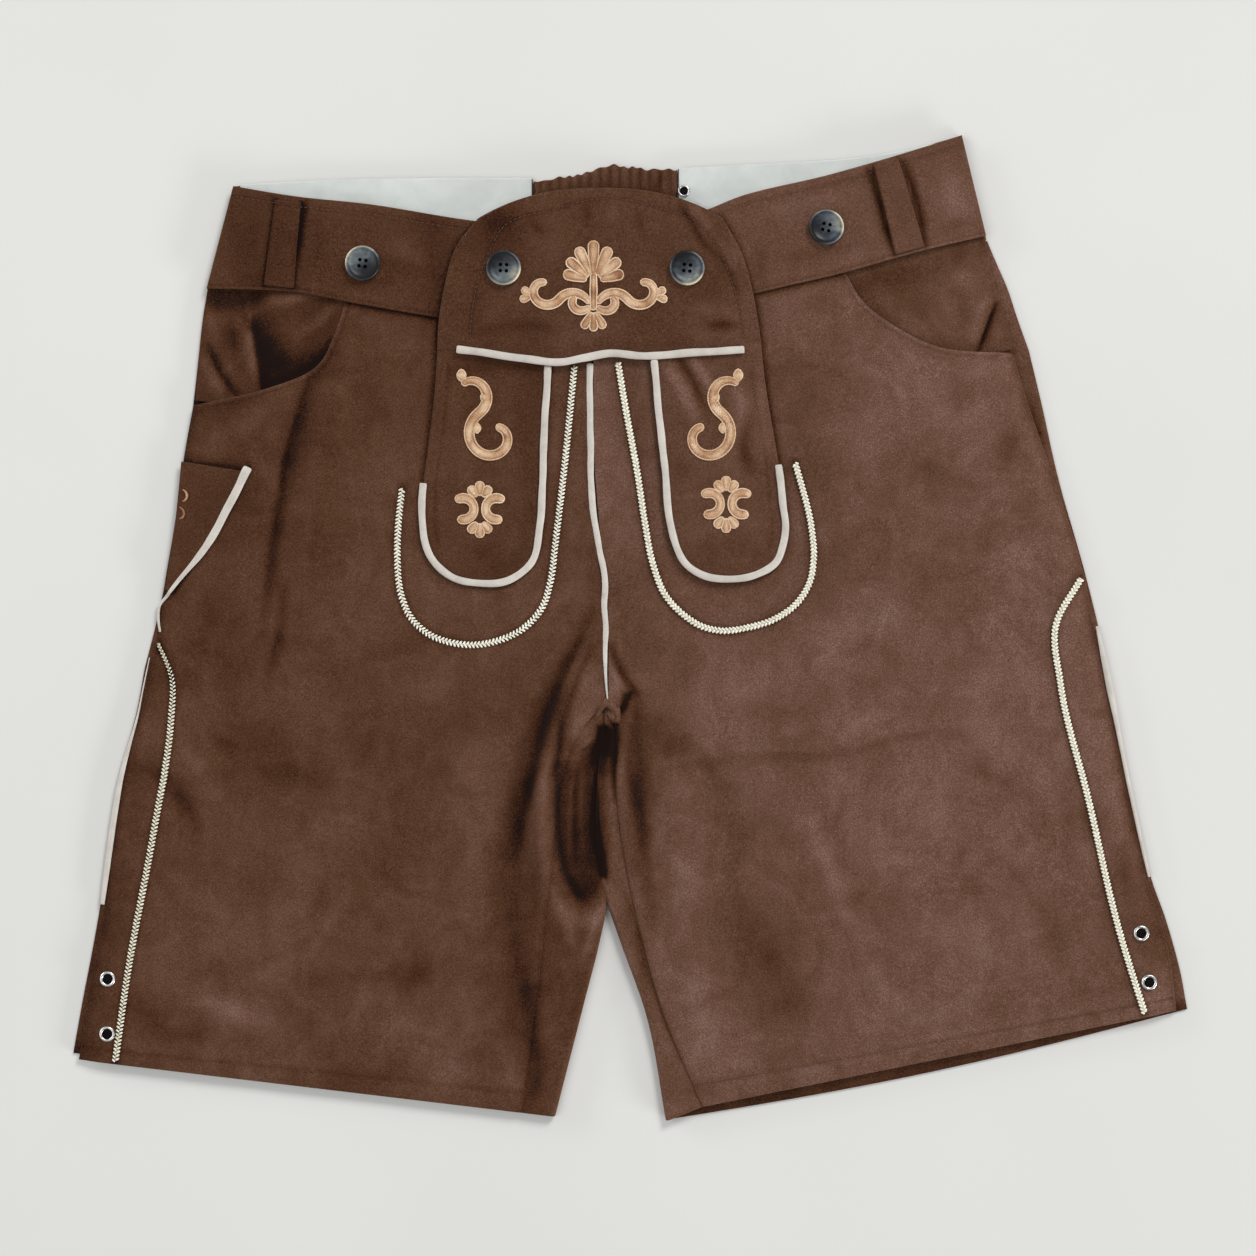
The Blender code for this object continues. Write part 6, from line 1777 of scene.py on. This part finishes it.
def palmette(cx, cy, names):
    """Seven even petals over a stem, a long volute with a bud on each side, three petals below."""
    for k in range(7):
        lean = (k - 3) * 25.0
        petal(cx, cy, 90 - lean, 4.5, 24.0 - 1.9 * abs(k - 3), 6.2, names, 0.44 + 0.05 * (k % 3), k)
    stroke([(cx, cy + 5.0), (cx, cy - 8.0), (cx, cy - 17.0)], [3.0, 3.8, 3.0], names, 0.42, seed=31)
    for sign in (1, -1):
        rise, a = volute(2.4, -13.0, 62, -112, 12.0, 9.6, 10)
        curl, _ = volute(rise[-1][0], rise[-1][1], a, 268, 10.6, 3.2, 18)
        line = rise + curl[1:]
        stroke([(cx + sign * x, cy + y) for x, y in line], [2.6, 4.4, 5.0, 5.0, 4.8, 4.6, 4.2, 3.6], names, 0.54, seed=10 + sign)
        bx, by = curl[8]
        petal(cx + sign * bx, cy + by, 90 - sign * 58, 2.6, 8.4, 4.4, names, 0.56, 15 + sign)
        petal(cx + sign * bx, cy + by, 90 - sign * 104, 2.6, 8.4, 4.4, names, 0.50, 18 + sign)
        low, _ = volute(2.2, -15.0, -52, 215, 7.2, 2.6, 14)
        stroke([(cx + sign * x, cy + y) for x, y in low], [2.6, 4.0, 4.4, 4.2, 3.4], names, 0.52, seed=21 + sign)
    for k in range(3):
        petal(cx, cy - 17.0, -90 + (k - 1) * 30, 2.0, 12.5, 4.6, names, 0.48, 26 + k)


palmette(-22.0, 207.5, ["flap_yoke"])


def scroll(cx, cy, sign, names):
    """An S of two volutes that meet at its middle, with a bud in each bend and one at the top."""
    up, _ = volute(0.0, 0.0, 38, 190, 12.6, 6.6, 16)
    down, _ = volute(0.0, 0.0, 218, 325, 16.3, 5.3, 24)
    line = [(x, y) for x, y in up[::-1]] + down[1:]
    stroke([(cx + sign * x, cy + y + 4.0) for x, y in line], [3.2, 4.6, 5.4, 5.6, 5.4, 5.2, 5.2, 5.0, 4.6, 4.0], names, 0.52, seed=3)
    tx, ty = up[-1]
    drop(cx + sign * (tx - 0.6), cy + ty + 9.4, 3.2, names, 0.60)
    drop(cx + sign * 3.2, cy + 13.0, 2.8, names, 0.56)
    drop(cx - sign * 1.4, cy - 5.4, 2.6, names, 0.60)


def rosette(cx, cy, names):
    """Two equal crescents back to back, and a fan of three petals above and below."""
    for sign in (1, -1):
        arc, _ = volute(14.2, 5.2, 138, 250, 6.4, 6.4, 16)
        stroke([(cx + sign * x, cy + y) for x, y in arc], [4.2, 5.0, 4.6, 4.2, 4.6, 5.0, 4.2], names, 0.55, seed=8 + sign)
        for k in range(3):
            petal(cx, cy + sign * 5.6, sign * 90 + (k - 1) * 38, 3.0, 11.0 - 1.0 * abs(k - 1), 5.4, names, 0.50 + 0.04 * k, 12 + k)


scroll(54.0, 125.0, -1, ["flap_panel_l"])
scroll(-90.5, 125.0, 1, ["flap_panel_r"])
rosette(57.4, 74.0, ["flap_panel_l"])
rosette(-90.2, 71.0, ["flap_panel_r"])
# the tips of a sprig on the knife pocket, by the side seam: two like leaves
for k, (x, y) in enumerate(((-267.6, 79.6), (-269.4, 69.0))):
    leaf, _ = volute(x, y + 3.4, -20, -150, 4.2, 3.0, 8)
    stroke([(p - 1.0, q) for p, q in leaf], [1.0, 1.6, 1.6, 1.0], ["knife_pocket_cloth", "front_panel_r"], 0.30, edge=False, seed=13 + k)

v, f, tone = FILL.arrays()
make("embroidery_satin", v, f, MAT["embroidery"], tone, np.concatenate(FILL_UV))
v, f, tone = EDGE.arrays()
make("embroidery_cord", v, f, MAT["cord"], tone)


# ---- buttons and eyelets -----------------------------------------------------------------------------
def lathe(profile, n, closed=False):
    prof = np.asarray(profile, float)
    a = np.arange(n) * 2 * math.pi / n
    v = np.stack([prof[:, None, 0] * np.cos(a), prof[:, None, 0] * np.sin(a), np.broadcast_to(prof[:, None, 1], (len(prof), n))], -1)
    f = []
    rows = len(prof)
    for i in range(rows if closed else rows - 1):
        j = (i + 1) % rows
        for k in range(n):
            f.append((i * n + k, j * n + k, j * n + (k + 1) % n, i * n + (k + 1) % n))
    if not closed:
        f.append(tuple(range(n)))
        f.append(tuple((rows - 1) * n + k for k in range(n))[::-1])
    return v.reshape(-1, 3), f


def button(name, spot, carrier, turn, lean, light):
    """A dished horn button with four holes, and near-black thread low in them as painted shade."""
    x, y = spot
    base = float(top_at(carrier, np.array([x]), np.array([y]), BUTTON_D * 0.42)[0]) + GAP + 0.1
    r, h = BUTTON_D / 2, BUTTON_H
    prof = [(0.01, h - 1.15), (2.2, h - 1.13), (4.4, h - 1.02), (6.0, h - 0.80), (7.2, h - 0.42), (8.0, h - 0.10), (8.7, h + 0.02),
            (9.4, h - 0.06), (10.0, h - 0.34), (10.35, h - 0.75), (r - 0.02, h - 1.2), (10.3, h - 1.75), (9.6, h - 2.4),
            (8.2, 0.15), (6.0, 0.0), (0.01, 0.0)]
    v, f = lathe(prof, 72)
    me = bpy.data.meshes.new(name)
    me.from_pydata((v * MM).tolist(), [], f)
    me.validate()
    ob = bpy.data.objects.new(name, me)
    bpy.context.scene.collection.objects.link(ob)
    cuts = []
    for k in range(4):
        a = math.radians(turn + 45 + 90 * k)
        cv, cf = lathe([(1.12, 6.0), (1.12, -2.0)], 20)
        cv = cv + np.array([2.6 * math.cos(a), 2.6 * math.sin(a), 0.0])
        cm = bpy.data.meshes.new("cut")
        cm.from_pydata((cv * MM).tolist(), [], cf)
        co = bpy.data.objects.new(f"cut_{k}", cm)
        bpy.context.scene.collection.objects.link(co)
        mod = ob.modifiers.new(f"cut_{k}", "BOOLEAN")
        mod.operation, mod.object, mod.solver = "DIFFERENCE", co, "EXACT"
        cuts.append(co)
    bpy.context.view_layer.update()
    done = bpy.data.meshes.new_from_object(ob.evaluated_get(bpy.context.evaluated_depsgraph_get()))
    co = np.zeros(len(done.vertices) * 3)
    done.vertices.foreach_get("co", co)
    co = co.reshape(-1, 3) / MM
    faces = [tuple(p.vertices) for p in done.polygons]
    for o in cuts + [ob]:
        bpy.data.objects.remove(o, do_unlink=True)
    rad = np.hypot(co[:, 0], co[:, 1])
    ang = np.arctan2(co[:, 1], co[:, 0]) - math.radians(light)
    out = np.clip(rad / r, 0, 1)
    # tone: paler on the side towards the angle light, painted highlight on the rim and painted shade in the ring groove
    # inside it
    tone = 0.40 + 0.42 * np.cos(ang) * out ** 0.9 + 0.10 * np.cos(3 * ang + turn) * out ** 2
    tone = tone - 0.16 * np.exp(-((rad - 8.6) / 0.6) ** 2) + 0.24 * np.exp(-((rad - 10.1) / 0.4) ** 2)
    tilt = np.array([math.radians(lean[0]), math.radians(lean[1])])
    z = co[:, 2] + base + co[:, 0] * math.tan(tilt[0]) + co[:, 1] * math.tan(tilt[1])
    z += max(0.0, (abs(math.tan(tilt[0])) + abs(math.tan(tilt[1]))) * r * 0.5)
    made = make(name, np.stack([co[:, 0] + x, co[:, 1] + y, z], -1), faces, MAT["horn"], tone)
    bpy.context.view_layer.objects.active = made
    with bpy.context.temp_override(active_object=made, object=made, selected_editable_objects=[made]):
        bpy.ops.object.shade_smooth_by_angle(angle=math.radians(38))
    # near-black thread low in the holes: painted shade filling their floor
    bag = Bag()
    for k in range(4):
        a = math.radians(turn + 45 + 90 * k)
        px, py = x + 2.6 * math.cos(a), y + 2.6 * math.sin(a)
        pill(bag, (px - 0.5, py, base + 0.5), (px + 0.5, py, base + 0.5), 1.0, 0.5, 0.0, 10)
    v, f, _ = bag.arrays()
    make(name + "_thread", v, f, MAT["thread_dark"])


LOOKS = {"button_waist_r": ("horn_button_waist_r", ON_BAND, -8, (-1.5, 1.0), 128),
         "button_waist_l": ("horn_button_waist_l", ON_BAND, -12, (1.5, 1.0), 28),
         "button_bib_r": ("horn_button_bib_r", ON_BIB, -2, (1.0, -1.0), -58),
         "button_bib_l": ("horn_button_bib_l", ON_BIB, -6, (-1.0, 1.0), -66)}
for node, (name, carrier, turn, lean, light) in LOOKS.items():
    button(name, BUTTONS[node], carrier, turn, lean, light)


def eyelet(name, spot, names, size=1.0):
    x, y = spot
    base = float(top_at(names, np.array([x]), np.array([y]), EYELET_D * 0.5 * size)[0]) + GAP
    r, b, h = EYELET_D / 2 * size + 0.2, EYELET_BORE / 2 * size + 0.4, EYELET_H
    prof = []
    for k in range(13):
        a = math.pi * k / 12
        mid, half = (r + b) / 2, (r - b) / 2
        prof.append((mid + half * math.cos(a), 0.12 + (h - 0.12) * math.sin(a) ** 0.8))
    prof += [(b - 0.02, -0.5), (b + 0.35, -0.5), (b + 0.4, 0.0), (r - 0.3, 0.0)]
    v, f = lathe(prof, 48, closed=True)
    v = v + np.array([x, y, base])
    f = [q[::-1] for q in f]
    make(name, v, f, MAT["eyelet"])
    # a near-black disc inside the ring: painted shade in the hole
    v, f = lathe([(0.01, 0.80), (b * 0.6, 0.76), (b + 0.05, 0.66), (b + 0.05, -0.3), (0.01, -0.3)], 32)
    v = v + np.array([x, y, base])
    make(name + "_hole", v, [q[::-1] for q in f], MAT["hole"])


for node, spot in EYELETS.items():
    eyelet(node.replace("eyelet", "metal_eyelet"), spot, FRONTS)
eyelet("metal_eyelet_back_l", EYELET_BACK, ["white_facing_l"], 0.75)


# ---- what each piece stands for: the construction's parts it replaces are hidden ------------------------
SHOWN = {
    "front_panel_r": ["front_r"], "front_panel_l": ["front_l"], "back_panel_r": ["back_r"], "back_panel_l": ["back_l"],
    "front_waistband_r": ["waistband_front_r"], "front_waistband_l": ["waistband_front_l"],
    "back_waistband_r": ["waistband_back_r"], "back_waistband_l": ["waistband_back_l"], "seat_gusset": ["back_gusset"],
    "white_facing_r": ["facing_r"], "white_facing_l": ["facing_l"],
    "pocket_layer_r": ["pocket_facing_r"], "pocket_layer_l": ["pocket_facing_l"],
    "flap_yoke": ["bib_yoke"], "flap_panel_r": ["bib_panel_r"], "flap_panel_l": ["bib_panel_l"],
    "knife_pocket_cloth": ["knife_pocket"], "loop_strip_r": ["belt_loop_r"], "loop_strip_l": ["belt_loop_l"],
    "piping_cord_welt": ["piping_welt"], "piping_cord_bib_r": ["piping_bib_r"], "piping_cord_bib_l": ["piping_bib_l"],
    "piping_cord_centre": ["piping_centre"], "piping_cord_knife": ["piping_knife"],
    "piping_cord_side_r": ["piping_side_r"], "piping_cord_side_l": ["piping_side_l"],
    "braid_cord_bib_r": ["braid_bib_r"], "braid_cord_bib_l": ["braid_bib_l"],
    "braid_cord_side_r": ["braid_side_r"], "braid_cord_side_l": ["braid_side_l"],
    "horn_button_waist_r": ["button_waist_r"], "horn_button_waist_l": ["button_waist_l"],
    "horn_button_bib_r": ["button_bib_r"], "horn_button_bib_l": ["button_bib_l"],
    "metal_eyelet_hem_r_upper": ["eyelet_hem_r_upper"], "metal_eyelet_hem_r_lower": ["eyelet_hem_r_lower"],
    "metal_eyelet_hem_l_upper": ["eyelet_hem_l_upper"], "metal_eyelet_hem_l_lower": ["eyelet_hem_l_lower"],
    "metal_eyelet_back_l": ["eyelet_back_l"],
}
for name, nodes in SHOWN.items():
    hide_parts(*nodes)

# ---- floor, light, camera --------------------------------------------------------------------------------------
me = bpy.data.meshes.new("floor")
me.from_pydata([(-6, -6, 0), (6, -6, 0), (6, 6, 0), (-6, 6, 0)], [], [(0, 1, 2, 3)])
me.materials.append(MAT["floor"])
floor = bpy.data.objects.new("floor", me)
floor.location.z = -0.0003
bpy.context.scene.collection.objects.link(floor)


def area_light(name, place, aim, size, power, colour=(1, 1, 1)):
    data = bpy.data.lights.new(name, "AREA")
    data.shape, data.size, data.size_y = "RECTANGLE", size[0], size[1]
    data.energy, data.color = power, colour
    ob = bpy.data.objects.new(name, data)
    ob.location = place
    ob.rotation_euler = (Vector(aim) - Vector(place)).to_track_quat("-Z", "Y").to_euler()
    bpy.context.scene.collection.objects.link(ob)


area_light("key", (2.4, 3.9, 3.6), (0, 0, 0), (1.9, 1.9), 200, (1, 0.99, 0.97))
area_light("low_a", (3.2, -2.4, 0.75), (0, 0, 0), (2.4, 0.5), 108, (1, 0.995, 0.98))
area_light("low_b", (-3.4, 1.6, 0.8), (0, 0, 0), (2.4, 0.5), 48, (1, 0.995, 0.98))
area_light("fill", (-2.6, -0.6, 3.6), (0, 0, 0), (3.2, 3.2), 54, (0.99, 0.995, 1))
world = bpy.data.worlds.new("studio")
world.use_nodes = True
world.node_tree.nodes["Background"].inputs["Color"].default_value = (0.99, 0.99, 0.985, 1)
world.node_tree.nodes["Background"].inputs["Strength"].default_value = 0.33
bpy.context.scene.world = world
bpy.context.scene.view_settings.view_transform = "Standard"
bpy.context.scene.view_settings.look = "None"

cam = bpy.data.cameras.new("camera")
cam.sensor_width, cam.sensor_fit = 36.0, "HORIZONTAL"
cam.lens = 36.0 * (1.700 - 0.005) / 0.7536
cam.clip_end = 20
camera = bpy.data.objects.new("camera", cam)
camera.location = (-0.00135, 0.0, 1.700)
bpy.context.scene.collection.objects.link(camera)
bpy.context.scene.camera = camera

bpy.context.view_layer.update()
